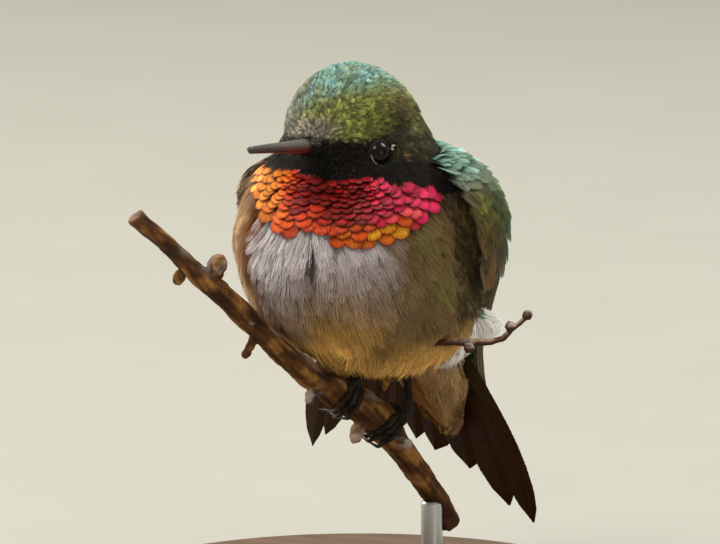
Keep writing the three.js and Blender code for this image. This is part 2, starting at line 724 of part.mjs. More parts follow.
function addStand() {
  const bevel = BASE_BEVEL;
  const profile = [[0, 0], [BASE_RADIUS - bevel / 2, 0], [BASE_RADIUS, bevel / 2],
    [BASE_RADIUS, BASE_THICKNESS - bevel], [BASE_RADIUS - bevel, BASE_THICKNESS], [0, BASE_THICKNESS]];
  const disc = new THREE.LatheGeometry(profile.map(([r, z]) => new THREE.Vector2(r, z)), BASE_SIDES);
  disc.rotateX(Math.PI / 2);
  const foot = branchAt(ROD_AT).here;
  const rodTop = BODY_HEIGHT + foot.z;
  const cylinder = (radius, bottom, top) => {
    const geometry = new THREE.CylinderGeometry(radius, radius, top - bottom, ROD_SIDES);
    geometry.rotateX(Math.PI / 2);
    geometry.translate(foot.x, foot.y, (top + bottom) / 2);
    return toSolid(geometry);
  };
  const socket = cylinder(ROD_RADIUS + GAP, BASE_THICKNESS - SOCKET_DEPTH, BASE_THICKNESS + 5);
  const lifted = branchSolid(GAP).translate([0, 0, BODY_HEIGHT]);
  const rod = cylinder(ROD_RADIUS, BASE_THICKNESS - SOCKET_DEPTH + GAP, rodTop).subtract(lifted);
  place(group, 'stand_base', toSolid(disc).subtract(socket), COLOURS.wood, 0.5);
  place(group, 'stand_rod', largestPart(rod), COLOURS.steel, 0.3, 0.9);
}

addBody();
addWings();
addTail();
addFeet();
addPerch();
addStand();

export default group;
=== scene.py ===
"""A perched male ruby-throated hummingbird, life size, on a cut branch over a display stand.

Shapes are worked out in millimetres in the bird's own frame (origin in the trunk's middle, the
bird faces -Y, its left side at +X, +Z up) and become metres in the row's frame when a mesh is made.
Every feather is built from barbs: thin strips that follow the lie of the coat over one skin.
"""
import itertools
import math

import bmesh
import bpy
import numpy as np
from mathutils import Matrix, Vector
from mathutils.bvhtree import BVHTree


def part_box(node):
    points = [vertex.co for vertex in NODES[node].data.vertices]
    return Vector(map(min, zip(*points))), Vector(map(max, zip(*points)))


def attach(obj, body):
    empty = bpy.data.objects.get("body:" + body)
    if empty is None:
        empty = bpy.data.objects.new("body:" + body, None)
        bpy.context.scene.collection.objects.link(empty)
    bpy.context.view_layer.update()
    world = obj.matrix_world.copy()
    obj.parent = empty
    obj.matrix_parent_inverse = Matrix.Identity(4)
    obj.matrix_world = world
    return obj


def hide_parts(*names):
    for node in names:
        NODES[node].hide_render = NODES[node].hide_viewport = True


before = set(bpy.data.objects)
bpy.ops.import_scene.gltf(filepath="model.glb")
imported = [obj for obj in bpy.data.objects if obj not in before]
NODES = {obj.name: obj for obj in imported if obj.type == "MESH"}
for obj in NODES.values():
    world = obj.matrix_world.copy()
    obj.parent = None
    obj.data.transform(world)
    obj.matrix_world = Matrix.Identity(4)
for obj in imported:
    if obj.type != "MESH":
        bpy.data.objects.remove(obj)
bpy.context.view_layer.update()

MM = 0.001
BODY_HEIGHT = 36.0  # of the bird frame's origin above the floor, in mm
ORIGIN = np.array([0.0, 0.0, BODY_HEIGHT])
UP = np.array([0.0, 0.0, 1.0])
PATCH = 0.003  # width of one tuft's patch on the OFBake map
TRIES_PER_ROOT = 3.2  # random places tried for each square of the spacing
CLOSEST_ROOTS = 0.82  # least distance of two roots, as a share of the spacing
SIDES = ((-1, "right"), (1, "left"))  # the sign of x on each side of the bird
RIDGE_HIGHLIGHT = 1.3  # a painted highlight on the ridge of a roof-shaped barb
RIPPLE_WAVES = 7
MARKINGS = "plumage"  # the colour attribute that the painted finishes read
FINISHES = {}  # the painted finishes by name

# ------------------------------------------------------------------ small helpers


def unit(v):
    return v / np.maximum(np.linalg.norm(v, axis=-1, keepdims=True), 1e-9)


def dot(a, b):
    return (a * b).sum(-1, keepdims=True)


def tangent(v, normal):
    """v with its part along the normal taken out, at unit length."""
    return unit(v - normal * dot(v, normal))


def smoothstep(low, high, x):
    t = np.clip((x - low) / (high - low), 0.0, 1.0)
    return t * t * (3 - 2 * t)


def between(low, high, soft, x):
    """1 where x is between low and high, falling to 0 over a soft width outside."""
    return smoothstep(low - soft, low, x) * (1 - smoothstep(high, high + soft, x))


def near(points, centre, reach):
    """A round spot: 1 at its centre, falling off smoothly with distance."""
    away = points - np.array(centre, float)
    return np.exp(-(away ** 2).sum(-1) / reach ** 2)


def linear(hex_colour):
    """A hex colour as linear red, green and blue."""
    value = hex_colour.lstrip("#")
    srgb = np.array([int(value[i:i + 2], 16) / 255 for i in (0, 2, 4)])
    return np.where(srgb <= 0.04045, srgb / 12.92, ((srgb + 0.055) / 1.055) ** 2.4)


def blend(under, over, weight):
    weight = np.asarray(weight)[..., None]
    return under * (1 - weight) + over * weight


def ripple(points, size, seed):
    """Smooth noise from -1 to 1 whose patches are about size wide."""
    rng = np.random.default_rng(seed)
    total = np.zeros(points.shape[:-1])
    for _ in range(RIPPLE_WAVES):
        wave = unit(rng.normal(size=3)) * rng.uniform(2.2, 4.2) / size
        total += np.sin(points @ wave + rng.uniform(0, 2 * math.pi))
    return total / 4.0


def smooth_rows(rows, at):
    """Values of a table at positions from 0 (first row) to 1 (last row), by smooth curves."""
    rows = np.array(rows, float)
    t = np.clip(np.asarray(at, float), 0, 1) * (len(rows) - 1)
    i = np.minimum(t.astype(int), len(rows) - 2)
    f = (t - i)[..., None]
    p0, p1 = rows[np.maximum(i - 1, 0)], rows[i]
    p2, p3 = rows[i + 1], rows[np.minimum(i + 2, len(rows) - 1)]
    return 0.5 * (2 * p1 + (p2 - p0) * f + (2 * p0 - 5 * p1 + 4 * p2 - p3) * f * f
                  + (3 * p1 - p0 - 3 * p2 + p3) * f ** 3)


# ------------------------------------------------------------------ meshes


def placed_in_scene(name, data):
    obj = bpy.data.objects.new(name, data)
    bpy.context.scene.collection.objects.link(obj)
    return obj


def add_piece(name, finish, slot, points, quads, colours=None, bake_uv=None, smooth=True,
              replaced=()):
    """A finished piece on the model's one body, in the place of the CAD nodes that it replaces.

    points are in bird mm, quads are four-cornered faces, and there is a linear colour per point.
    """
    mesh = bpy.data.meshes.new(name)
    quads = np.asarray(quads, np.int32)
    mesh.vertices.add(len(points))
    mesh.vertices.foreach_set("co", ((points + ORIGIN) * MM).astype(np.float32).ravel())
    mesh.loops.add(quads.size)
    mesh.loops.foreach_set("vertex_index", quads.ravel())
    mesh.polygons.add(len(quads))
    mesh.polygons.foreach_set("loop_start", np.arange(0, quads.size, 4, dtype=np.int32))
    mesh.polygons.foreach_set("use_smooth", np.full(len(quads), smooth))
    mesh.update(calc_edges=True)
    if colours is not None:
        rgba = np.ones((len(points), 4), np.float32)
        rgba[:, :3] = np.clip(colours, 0, 1)
        layer = mesh.color_attributes.new(name=MARKINGS, type="FLOAT_COLOR", domain="POINT")
        layer.data.foreach_set("color", rgba.ravel())
    if bake_uv is not None:
        layer = mesh.uv_layers.new(name="OFBake")
        layer.data.foreach_set("uv", bake_uv[quads.ravel()].astype(np.float32).ravel())
    mesh.materials.append(finish)
    piece = placed_in_scene(name, mesh)
    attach(piece, "root")
    if replaced:
        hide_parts(*replaced)


def mesh_points(mesh):
    points = np.empty(len(mesh.vertices) * 3)
    mesh.vertices.foreach_get("co", points)
    return points.reshape(-1, 3)


def mesh_quads(mesh):
    corners = np.empty(len(mesh.loops), np.int32)
    mesh.loops.foreach_get("vertex_index", corners)
    return corners.reshape(-1, 4)


def remeshed(node_names, grow, voxel, fillers=()):
    """One closed surface of square faces round some CAD nodes, each grown by a margin: bird mm.

    fillers are (centre, radius) of balls that join the nodes where a gap lies between them.
    """
    joined = bmesh.new()
    for name in node_names:
        part = bmesh.new()
        part.from_mesh(NODES[name].data)
        bmesh.ops.remove_doubles(part, verts=part.verts, dist=2e-6)
        part.normal_update()
        moved = [Vector(v.co / MM + v.normal * grow) - Vector(ORIGIN) for v in part.verts]
        for vertex, place in zip(part.verts, moved):
            vertex.co = place
        mesh = bpy.data.meshes.new("part")
        part.to_mesh(mesh)
        part.free()
        joined.from_mesh(mesh)
        bpy.data.meshes.remove(mesh)
    for centre, radius in fillers:
        bmesh.ops.create_icosphere(joined, subdivisions=2, radius=radius,
                                   matrix=Matrix.Translation(Vector(centre)))
    mesh = bpy.data.meshes.new("joined")
    joined.to_mesh(mesh)
    joined.free()
    holder = placed_in_scene("holder", mesh)
    modifier = holder.modifiers.new("remesh", "REMESH")
    modifier.mode = "VOXEL"
    modifier.voxel_size = voxel
    graph = bpy.context.evaluated_depsgraph_get()
    result = bpy.data.meshes.new_from_object(holder.evaluated_get(graph))
    points, quads = mesh_points(result), mesh_quads(result)
    bpy.data.objects.remove(holder)
    bpy.data.meshes.remove(mesh)
    bpy.data.meshes.remove(result)
    return points, quads


def relaxed(points, quads, rounds):
    """The surface with its facets smoothed away; a push outwards after each pull keeps its size."""
    pairs = np.vstack([quads[:, [i, (i + 1) % 4]] for i in range(4)])
    pairs = np.unique(np.sort(pairs, axis=1), axis=0)
    a, b = pairs[:, 0], pairs[:, 1]
    count = np.bincount(a, minlength=len(points)) + np.bincount(b, minlength=len(points))
    for share in (0.5, -0.52) * rounds:
        total = np.zeros_like(points)
        for axis in range(3):
            total[:, axis] = (np.bincount(a, points[b, axis], len(points))
                              + np.bincount(b, points[a, axis], len(points)))
        points = points + share * (total / count[:, None] - points)
    return points


def vertex_normals(points, quads):
    across = np.cross(points[quads[:, 2]] - points[quads[:, 0]],
                      points[quads[:, 3]] - points[quads[:, 1]])
    normals = np.zeros_like(points)
    for corner in range(4):
        for axis in range(3):
            normals[:, axis] += np.bincount(quads[:, corner], across[:, axis], len(points))
    return unit(normals)


def ring_quads(rings, sides):
    """The faces between rings of points that follow each other."""
    index = np.arange(rings * sides).reshape(rings, sides)
    beside = np.roll(index, -1, axis=1)
    return np.stack([index[:-1], beside[:-1], beside[1:], index[1:]], -1).reshape(-1, 4)


def lathe(profile, turns):
    """Points and quads of a profile of (radius, height) turned about +Z."""
    radius, height = np.array(profile, float).T
    angle = np.linspace(0, 2 * math.pi, turns, endpoint=False)
    points = np.stack([radius[:, None] * np.cos(angle), radius[:, None] * np.sin(angle),
                       np.repeat(height[:, None], turns, axis=1)], -1)
    return points.reshape(-1, 3), ring_quads(len(radius), turns)


def tube(path, radii, sides=14):
    """A round bar along a path, shut at both ends."""
    along = unit(np.gradient(path, axis=0))
    first = unit(np.cross(along[0], np.array([0.3, 0.2, 0.93])))
    angle = np.linspace(0, 2 * math.pi, sides, endpoint=False)[:, None]
    rings = []
    for place, radius, way in zip(path, radii, along):
        first = tangent(first, way)
        rings.append(place + radius * (np.cos(angle) * first + np.sin(angle) * np.cross(way, first)))
    points = np.concatenate([[path[0]] * sides] + rings + [[path[-1]] * sides])
    return points, ring_quads(len(rings) + 2, sides)


def facing(points, centre, outward):
    """Points made about +Z, turned so that +Z faces outward, and set at a centre."""
    outward = unit(outward)
    x = unit(np.cross(UP, outward))
    y = np.cross(outward, x)
    return points @ np.stack([x, y, outward]) + centre


class Surface:
    def __init__(self, points, quads):
        self.corners = points[quads]
        self.tree = BVHTree.FromPolygons(points.tolist(), quads.tolist())

    def nearest(self, places):
        found = [self.tree.find_nearest(Vector(p)) for p in places.reshape(-1, 3)]
        where = np.array([f[0] for f in found]).reshape(places.shape)
        normal = np.array([f[1] for f in found]).reshape(places.shape)
        return where, normal

    def scatter(self, spacing, wanted, seed):
        """Roots about spacing apart over the part of the surface where wanted(points) holds."""
        rng = np.random.default_rng(seed)
        c = self.corners
        across = np.cross(c[:, 2] - c[:, 0], c[:, 3] - c[:, 1])
        area = np.linalg.norm(across, axis=1) / 2 * wanted(c.mean(axis=1))
        total = int(area.sum() / spacing ** 2 * TRIES_PER_ROOT)
        chosen = rng.choice(len(area), size=total, p=area / area.sum())
        u, v = rng.random((2, total, 1))
        c = c[chosen]
        places = (c[:, 0] * (1 - u) * (1 - v) + c[:, 1] * u * (1 - v) + c[:, 2] * u * v
                  + c[:, 3] * (1 - u) * v)
        return self.nearest(spread_out(places, spacing * CLOSEST_ROOTS))


def spread_out(places, spacing):
    """Those of the places that keep a spacing from each other, taken in order."""
    steps = list(itertools.product((-1, 0, 1), repeat=3))
    cells, kept = {}, []
    for i, (x, y, z) in enumerate(np.floor(places / spacing).astype(int).tolist()):
        others = (cells.get((x + dx, y + dy, z + dz), ()) for dx, dy, dz in steps)
        gaps = (places[i] - places[k] for k in itertools.chain.from_iterable(others))
        if all(gap @ gap >= spacing * spacing for gap in gaps):
            cells.setdefault((x, y, z), []).append(i)
            kept.append(i)
    return places[kept]


# ------------------------------------------------------------------ materials


def material(name, roughness, metallic=0.0, sheen=0.0, coat=0.0, specular=0.5):
    """A material with a Principled shader; returns it with its nodes, links and shader."""
    made = bpy.data.materials.new(name)
    made.use_nodes = True
    nodes, links = made.node_tree.nodes, made.node_tree.links
    shader = nodes["Principled BSDF"]
    shader.inputs["Roughness"].default_value = roughness
    shader.inputs["Metallic"].default_value = metallic
    shader.inputs["Sheen Weight"].default_value = sheen
    shader.inputs["Coat Weight"].default_value = coat
    shader.inputs["Specular IOR Level"].default_value = specular
    return made, nodes, links, shader


def noise_node(nodes, links, scale, detail=3.0, stretch=(1, 1, 1), rough=0.55):
    """A noise texture on the object's own coordinates in metres; scale is per metre."""
    place = nodes.new("ShaderNodeTexCoord")
    mapping = nodes.new("ShaderNodeMapping")
    mapping.inputs["Scale"].default_value = stretch
    texture = nodes.new("ShaderNodeTexNoise")
    texture.inputs["Scale"].default_value = scale
    texture.inputs["Detail"].default_value = detail
    texture.inputs["Roughness"].default_value = rough
    links.new(place.outputs["Object"], mapping.inputs["Vector"])
    links.new(mapping.outputs["Vector"], texture.inputs["Vector"])
    return texture


def add_bump(nodes, links, shader, texture, depth, strength):
    bump = nodes.new("ShaderNodeBump")
    bump.inputs["Distance"].default_value = depth * MM
    bump.inputs["Strength"].default_value = strength
    links.new(texture.outputs["Fac"], bump.inputs["Height"])
    links.new(bump.outputs["Normal"], shader.inputs["Normal"])


def painted_material(name, roughness, grain, contrast=0.3, bump=0.02, strength=0.6, detail=3.0,
                     rough=0.55, spread=None, **shader_values):
    """A finish that takes its colour from the piece's own markings, broken up by fine grain.

    spread maps the grain to shades: from low and high, to low and high.
    """
    made, nodes, links, shader = material(name, roughness, **shader_values)
    markings = nodes.new("ShaderNodeAttribute")
    markings.attribute_name = MARKINGS
    texture = noise_node(nodes, links, grain, detail, rough=rough)
    value = nodes.new("ShaderNodeMapRange")
    shades = spread or (0, 1, 1 - contrast, 1 + contrast)
    for end, shade in zip(("From Min", "From Max", "To Min", "To Max"), shades):
        value.inputs[end].default_value = shade
    tint = nodes.new("ShaderNodeVectorMath")
    tint.operation = "SCALE"
    links.new(texture.outputs["Fac"], value.inputs["Value"])
    links.new(markings.outputs["Color"], tint.inputs[0])
    links.new(value.outputs["Result"], tint.inputs["Scale"])
    links.new(tint.outputs["Vector"], shader.inputs["Base Color"])
    add_bump(nodes, links, shader, texture, bump, strength)
    FINISHES[name] = made
    return made


def ramp_material(name, roughness, dark, light, scale, ends=(0, 1), bump=None, detail=3.0,
                  stretch=(1, 1, 1), **shader_values):
    """A finish that runs from a dark to a light colour with a noise texture."""
    made, nodes, links, shader = material(name, roughness, **shader_values)
    texture = noise_node(nodes, links, scale, detail, stretch)
    ramp = nodes.new("ShaderNodeValToRGB")
    for stop, end, colour in zip(ramp.color_ramp.elements, ends, (dark, light)):
        stop.position = end
        stop.color = (*colour, 1)
    links.new(texture.outputs["Fac"], ramp.inputs["Fac"])
    links.new(ramp.outputs["Color"], shader.inputs["Base Color"])
    if bump:
        add_bump(nodes, links, shader, texture, *bump)
    return made


def glass_material(name):
    """A dark glossy finish with the piece's markings only half broken up by noise."""
    made, nodes, links, shader = material(name, 0.06, specular=0.18)
    markings = nodes.new("ShaderNodeAttribute")
    markings.attribute_name = MARKINGS
    texture = noise_node(nodes, links, 3000)
    tint = nodes.new("ShaderNodeMix")
    tint.data_type = "RGBA"
    tint.blend_type = "MULTIPLY"
    tint.inputs["Factor"].default_value = 0.5
    links.new(markings.outputs["Color"], tint.inputs["A"])
    links.new(texture.outputs["Color"], tint.inputs["B"])
    links.new(tint.outputs["Result"], shader.inputs["Base Color"])
    return made


# ------------------------------------------------------------------ the head's own frame

BILL_LENGTH = 14.8
HEAD_YAW = 4
HEAD_PITCH = 8
BILL_BASE = np.array([-0.9, -12.0, 14.5])
EYE_IN_HEAD = {"right": np.array([-4.7, 5.7, -0.2]), "left": np.array([4.95, 5.45, -0.35])}
EYE_AHEAD = {"right": -0.35, "left": -0.6}  # how far each eye turns to the front
EYE_SINK = {"right": 0.24, "left": 0.13}  # of each visible ball below its place
EYE_OPENING = 1.12  # radius of the bare ring round the eye's middle


def turn_z(degrees):
    c, s = math.cos(math.radians(degrees)), math.sin(math.radians(degrees))
    return np.array([[c, -s, 0], [s, c, 0], [0, 0, 1]])


def turn_x(degrees):
    c, s = math.cos(math.radians(degrees)), math.sin(math.radians(degrees))
    return np.array([[1, 0, 0], [0, c, -s], [0, s, c]])


HEAD_TURN = turn_z(-HEAD_YAW) @ turn_x(-HEAD_PITCH)


def from_head(points):
    """From left, back and up of the bill's base to the bird frame."""
    return np.asarray(points, float) @ HEAD_TURN.T + BILL_BASE


def to_head(points):
    return (points - BILL_BASE) @ HEAD_TURN


EYE_PLACES = [from_head(EYE_IN_HEAD[word]) for _, word in SIDES]


def eye_outward(side, word):
    return HEAD_TURN @ unit(np.array([side, EYE_AHEAD[word], 0.06]))


# ------------------------------------------------------------------ the trunk's outline

# The trunk's level oval outlines from the vent up: height, then shift, half width, front, back.
TRUNK_LEVELS = (-9.7, -8.4, -6.5, -4.2, -1.5, 1.5, 4.5, 7.5, 10.6, 13.4)
TRUNK_OVALS = ((1.4, 1.2, 0.9, 0.5, 0.0, -0.4, -0.5, -0.4, -0.2, 0.4),
               (5.8, 8.4, 10.3, 11.4, 11.8, 11.9, 11.8, 11.2, 9.5, 7.5),
               (-2.0, -5.2, -8.4, -11.0, -12.9, -13.9, -14.0, -13.3, -11.8, -9.9),
               (9.6, 11.0, 11.6, 11.6, 11.2, 10.5, 10.0, 9.5, 8.4, 6.9))
# Two round spots that make up the white tuft beside the left flank's rear: centres and reaches.
TUFT_SPOTS = (((10.9, 4.6, -5.7), 2.9), ((9.0, 4.4, -8.6), 2.2))


def around(points):
    """Degrees round the trunk: 0 at the front, positive to the bird's left."""
    return np.degrees(np.arctan2(points[..., 0], -(points[..., 1] + 2.0)))


def trunk_excess(points):
    """How far outside the trunk's oval outline at its height: above 0 on the wings."""
    shift, half, front, back = (np.interp(points[..., 2], TRUNK_LEVELS, row) for row in TRUNK_OVALS)
    across = (points[..., 0] - shift) / half
    along = (points[..., 1] - (front + back) / 2) / ((back - front) / 2)
    return np.hypot(across, along) - 1


def tuft_share(points):
    """1 on the white tuft that lies beside each flank's rear, 0 away from it."""
    mirrored = np.stack([np.abs(points[..., 0]), points[..., 1], points[..., 2]], -1)
    return np.maximum(*(smoothstep(0.35, 0.6, near(mirrored, *spot)) for spot in TUFT_SPOTS))


def parting(points):
    """How far a place lies to the left of the breast's parting, and how open that is there."""
    aside = points[..., 0] + 0.55 - 0.11 * points[..., 2]
    return aside, between(1.4, 4.8, 1.2, points[..., 2]) * (points[..., 1] < 0)


def crease(points):
    """The groove of the parting down the breast's middle, from 0 to 1."""
    aside, openness = parting(points)
    return np.exp(-(aside / 0.34) ** 2) * openness


# ------------------------------------------------------------------ the tail's own frame

TAIL_BASE = np.array([1.6, 8.5, -5.3])
TAIL_PITCH = math.radians(61)
TAIL_ROLL = math.radians(19)
TAIL_ALONG = np.array([0.0, math.cos(TAIL_PITCH), -math.sin(TAIL_PITCH)])
LEFTWARD = np.array([1.0, 0.0, 0.0])
TAIL_ACROSS = LEFTWARD * math.cos(TAIL_ROLL) + np.cross(TAIL_ALONG, LEFTWARD) * math.sin(TAIL_ROLL)
TAIL_UNDER = np.cross(TAIL_ALONG, TAIL_ACROSS)
RECTRIX_TIPS = [(23.2, -16.5), (21.0, -14.4), (17.4, -10.8), (17.0, -7.4), (17.0, -4.4),
                (17.3, -2.0), (18.0, 0.3), (18.9, 4.6), (22.3, 9.0), (23.5, 11.9)]
RECTRIX_NAMES = [f"right_{n}" for n in (5, 4, 3, 2, 1)] + [f"left_{n}" for n in (1, 2, 3, 4, 5)]
QUILL_SPACING = 0.9
OUTER_VANE = 1.9  # reach of the outermost feathers' free edges
WIDEST_VANE = 3.2

# ------------------------------------------------------------------ markings

# The gorget's upper and lower border: degrees round the throat, height.
GORGET_TOP = [(-85, 10.7), (-65, 11.1), (-30, 11.7), (0, 11.0), (33, 11.2), (46, 10.4),
              (60, 9.9), (75, 9.7), (90, 8.7)]
GORGET_LOW = [(-85, 10.4), (-60, 9.0), (-44, 8.0), (-26, 5.8), (-11, 5.2), (-4, 6.1), (0, 6.6), (3, 6.0),
              (10, 4.6), (31, 4.6), (51, 5.5), (63, 6.5), (72, 7.3), (82, 8.3), (90, 8.7)]

INK = linear("#14100b")
SOOT = linear("#231c12")
UMBRAGE = linear("#211500")
DUSTY = linear("#9a8d8c")
TEAL = linear("#7aa6a1")
JADE = linear("#7c9a78")
OLIVE = linear("#888d47")
LIME = linear("#8b8e38")
SLATE = linear("#5e6059")
BARK_BROWN = linear("#6a5c3a")
NAPE_GREEN = linear("#444f26")
AMBER = linear("#ff9116")
ORANGE = linear("#fb560d")
SCARLET = linear("#db1c0f")
RUBY = linear("#94100f")
CRIMSON = linear("#fe1e5a")
# dark rim of each gorget scale, partly its own colour and partly painted shade from the overlap
MAROON_EDGE_SHADE = linear("#350504")
WHITE = linear("#ddd4db")
# lavender grey, partly painted shade on the breast's white
LAVENDER_SHADE = linear("#a99fa8")
ASH = linear("#8a7d62")
DRAB = linear("#765f40")
MOSS = linear("#7e7f43")
# light tan, partly a painted highlight along the right flank's edge
LIT_TAN = linear("#d9b68e")
UMBER = linear("#8a4d19")
BUFF = linear("#b98e4d")
HAY = linear("#e5b565")
TURQUOISE = linear("#86b3a9")
EMERALD = linear("#4f6b45")
BOTTLE = linear("#3a4526")
WING_BROWN = linear("#583d0d")
WING_OLIVE = linear("#6c7034")
FLIGHT_BROWN = linear("#423420")
FLIGHT_EDGE = linear("#7d6a4c")
# painted shade, dark brown, in the fold between wing and flank
FOLD_SHADE = linear("#3a2d12")
TAIL_BLACK = linear("#351c04")
VENT_BROWN = linear("#9a6c30")
VENT_CREAM = linear("#cbab80")
TAUPE = linear("#a89998")
FAWN = linear("#a88b6f")
SNOW = linear("#f9f5f5")
TUFT_TAN = linear("#a9987f")
EAR_STREAK = linear("#a8825f")
# painted shade, dark brown, in the notch under the gorget's lower border
NOTCH_SHADE = linear("#7a4a1e")
# Glints of green on the left flank: where, and how wide.
MOSS_SPOTS = (((10.2, -7.0, 4.6), 1.7), ((11.2, -4.8, -0.8), 1.8), ((10.6, -6.8, 1.4), 1.1))


def layered(points, ground, *layers):
    """A ground colour at each point, with (colour, weight) layers laid over it in turn."""
    colour = ground + 0 * points
    for over, weight in layers:
        colour = blend(colour, over, weight)
    return colour


def head_spot(points, centre, reach):
    """A round spot about a centre that is given from the bill's base."""
    return near(points, from_head(centre), reach)


def gorget_top(degrees):
    return np.interp(degrees, *zip(*GORGET_TOP))


def gorget_low(degrees):
    return np.interp(degrees, *zip(*GORGET_LOW))


def head_colour(points):
    """Olive with a blue-green crown, dusty forehead, dull nape, and black round eyes and bill."""
    left, back, up = np.moveaxis(to_head(points), -1, 0)
    mottle = 0.65 + 0.35 * smoothstep(-0.7, 0.5, ripple(points, 1.3, 14))
    dusty = smoothstep(3.2, 1.2, back) * smoothstep(3.8, 2.0, up) * smoothstep(3.4, 0.8, left)
    colour = layered(points, OLIVE,
                     (LIME, head_spot(points, (4.4, 5.0, 2.6), 1.6) * 0.6),
                     (JADE, smoothstep(4.6, 7.4, up) * 0.9),
                     (TEAL, smoothstep(3.4, 6.4, up - 0.45 * left) * mottle),
                     (SLATE, smoothstep(-0.9, -3.4, left) * smoothstep(8.6, 5.6, up) * 0.85),
                     (DUSTY, dusty * 0.75),
                     (BARK_BROWN, head_spot(points, (6.2, 9.2, 4.2), 2.3) * 0.9),
                     (NAPE_GREEN, smoothstep(9.5, 13.0, back) * smoothstep(6.5, 3.5, up)),
                     (UMBRAGE, head_spot(points, (6.6, 7.8, 2.1), 2.5) * 0.97))
    fleck = ripple(points, 0.5, 3)
    colour = colour * (1 + 0.5 * fleck * smoothstep(0.5, 2.0, up))[..., None]
    glints = smoothstep(0.2, 1.2, ripple(points, 1.1, 4)) * smoothstep(4, 6, up)
    colour = blend(colour, OLIVE, glints * 0.6)
    shadow = smoothstep(0.1, 0.9, ripple(points, 0.9, 15)) * smoothstep(1.5, 3.5, up)
    colour = colour * (1 - 0.35 * shadow)[..., None]
    dusk = smoothstep(2.4, 1.0, up) * smoothstep(5.0, 6.4, back)
    streaks = smoothstep(0.3, 0.9, ripple(points, 0.6, 5)) * head_spot(points, (7.4, 7.8, -0.5), 1.5)
    lore = smoothstep(1.15, 0.5, up - 0.02 * back) * smoothstep(7.0, 5.4, back)
    brow = head_spot(points, (5.5, 4.4, 1.0), 1.3) * 0.9
    # The chin's black below the bill is partly painted shadow of the bill.
    dark = np.maximum(np.maximum(lore, brow), smoothstep(-0.2, -1.4, up))
    return layered(points, colour, (SOOT, dusk * 0.9), (EAR_STREAK, streaks * 0.8), (INK, dark))


def gorget_colour(points):
    """Amber at the bird's right, ruby in the middle and under the chin, crimson at its left; this shift of
    hue across the throat is partly a painted reflection.
    """
    degrees = around(points)
    rise = points[..., 2] - gorget_low(degrees)
    low = smoothstep(1.9, 0.7, rise - 0.012 * (degrees - 20))
    patchy = smoothstep(-0.6, 0.3, ripple(points, 1.2, 9))
    colour = layered(points, SCARLET,
                     (ORANGE, smoothstep(2, -16, degrees)),
                     (AMBER, smoothstep(-16, -36, degrees + 4 * ripple(points, 1.5, 8)) * 0.95),
                     (RUBY, between(-14, 24, 10, degrees) * smoothstep(0.9, 2.4, rise)),
                     (ORANGE, low * between(-10, 60, 8, degrees) * 0.9),
                     (AMBER, low * between(18, 56, 8, degrees) * patchy),
                     (CRIMSON, smoothstep(24, 40, degrees) * (1 - low * smoothstep(62, 48, degrees))))
    # Painted highlight on the low rows at the bird's left, painted shade on the rows above them and on the
    # low middle rows.
    painted_light = 1 + 0.4 * smoothstep(14, 40, degrees) * (2 * smoothstep(2.6, 0.9, rise) - 1)
    painted_light = painted_light * (1 - 0.2 * low * between(-14, 12, 6, degrees))
    return colour * painted_light[..., None]


def body_colour(points):
    """White under the gorget, then taupe, fawn and buff down the belly, with darker flanks."""
    degrees = around(points)
    high = points[..., 2]
    wander = degrees + 5 * ripple(points, 2.2, 12)
    level = high + 0.6 * ripple(points, 2.0, 13)
    level = level + 2.2 * smoothstep(-2, -26, degrees) - 0.5 * smoothstep(4, 24, degrees)
    front = between(-38, 42, 14, wander)
    # The white greys to lavender towards the bird's left, partly as painted shade.
    white = layered(points, WHITE, (LAVENDER_SHADE, smoothstep(2, 26, degrees) * 0.5))
    side = smoothstep(-36, -44, wander) * smoothstep(-9.0, -3.0, high)
    glints = [(MOSS, near(points, centre, reach) * 0.7) for centre, reach in MOSS_SPOTS]
    behind = np.maximum(smoothstep(96, 110, degrees), smoothstep(-107, -115, degrees))
    colour = layered(points, BUFF,
                     (HAY, smoothstep(-3.5, -7.0, high) * between(-60, 100, 20, degrees)),
                     (FAWN, smoothstep(-4.6, -2.0, level) * front),
                     (TAUPE, smoothstep(-1.9, 1.2, level) * front),
                     (white, smoothstep(1.0, 4.4, level) * between(-38, 30, 12, wander)),
                     (DRAB, smoothstep(32, 52, wander) * smoothstep(-8.0, -4.0, high)),
                     (ASH, near(points, (8.6, -9.4, -1.6), 2.2) * 0.4),
                     (UMBER, side),
                     # tan along the right flank's edge, partly a painted highlight
                     (LIT_TAN, side * smoothstep(-44, -54, degrees) * smoothstep(-6, -1, high)),
                     (DRAB, side * smoothstep(-86, -104, degrees) * 0.85),
                     *glints,
                     (BOTTLE, behind * smoothstep(-4, 0, high)),
                     (HAY * 1.15, near(points, (9.4, 1.0, -8.0), 3.0) * 0.6))
    shade = 1 - 0.7 * near(points, (4.5, -6.8, -6.6), 2.1) - 0.25 * near(points, (7.0, -11.6, -0.6), 2.2)
    shade = shade + 0.5 * near(points, (0.2, -7.0, -6.8), 2.0)
    streak = ripple(points * np.array([1, 1, 0.35]), 1.3, 11)
    colour = colour * (shade * (1 + 0.18 * streak * smoothstep(3, -2, high)))[..., None]
    # Painted shade in the notch under the gorget and along the groove of the breast's parting.
    return layered(points, colour, (NOTCH_SHADE, near(points, (-1.1, -11.2, 5.3), 1.3)),
                   (SNOW, tuft_share(points)), (SOOT, crease(points) * 0.9))


def back_colour(points):
    """The green of the back, brightest and most turquoise towards the shoulders, partly as a painted
    highlight.
    """
    shine = ripple(points, 2.6, 21)
    return layered(points, EMERALD, (BOTTLE, smoothstep(-0.4, 0.8, shine) * 0.7),
                   (TURQUOISE, smoothstep(6.5, 10.5, points[..., 2]) * 0.45))


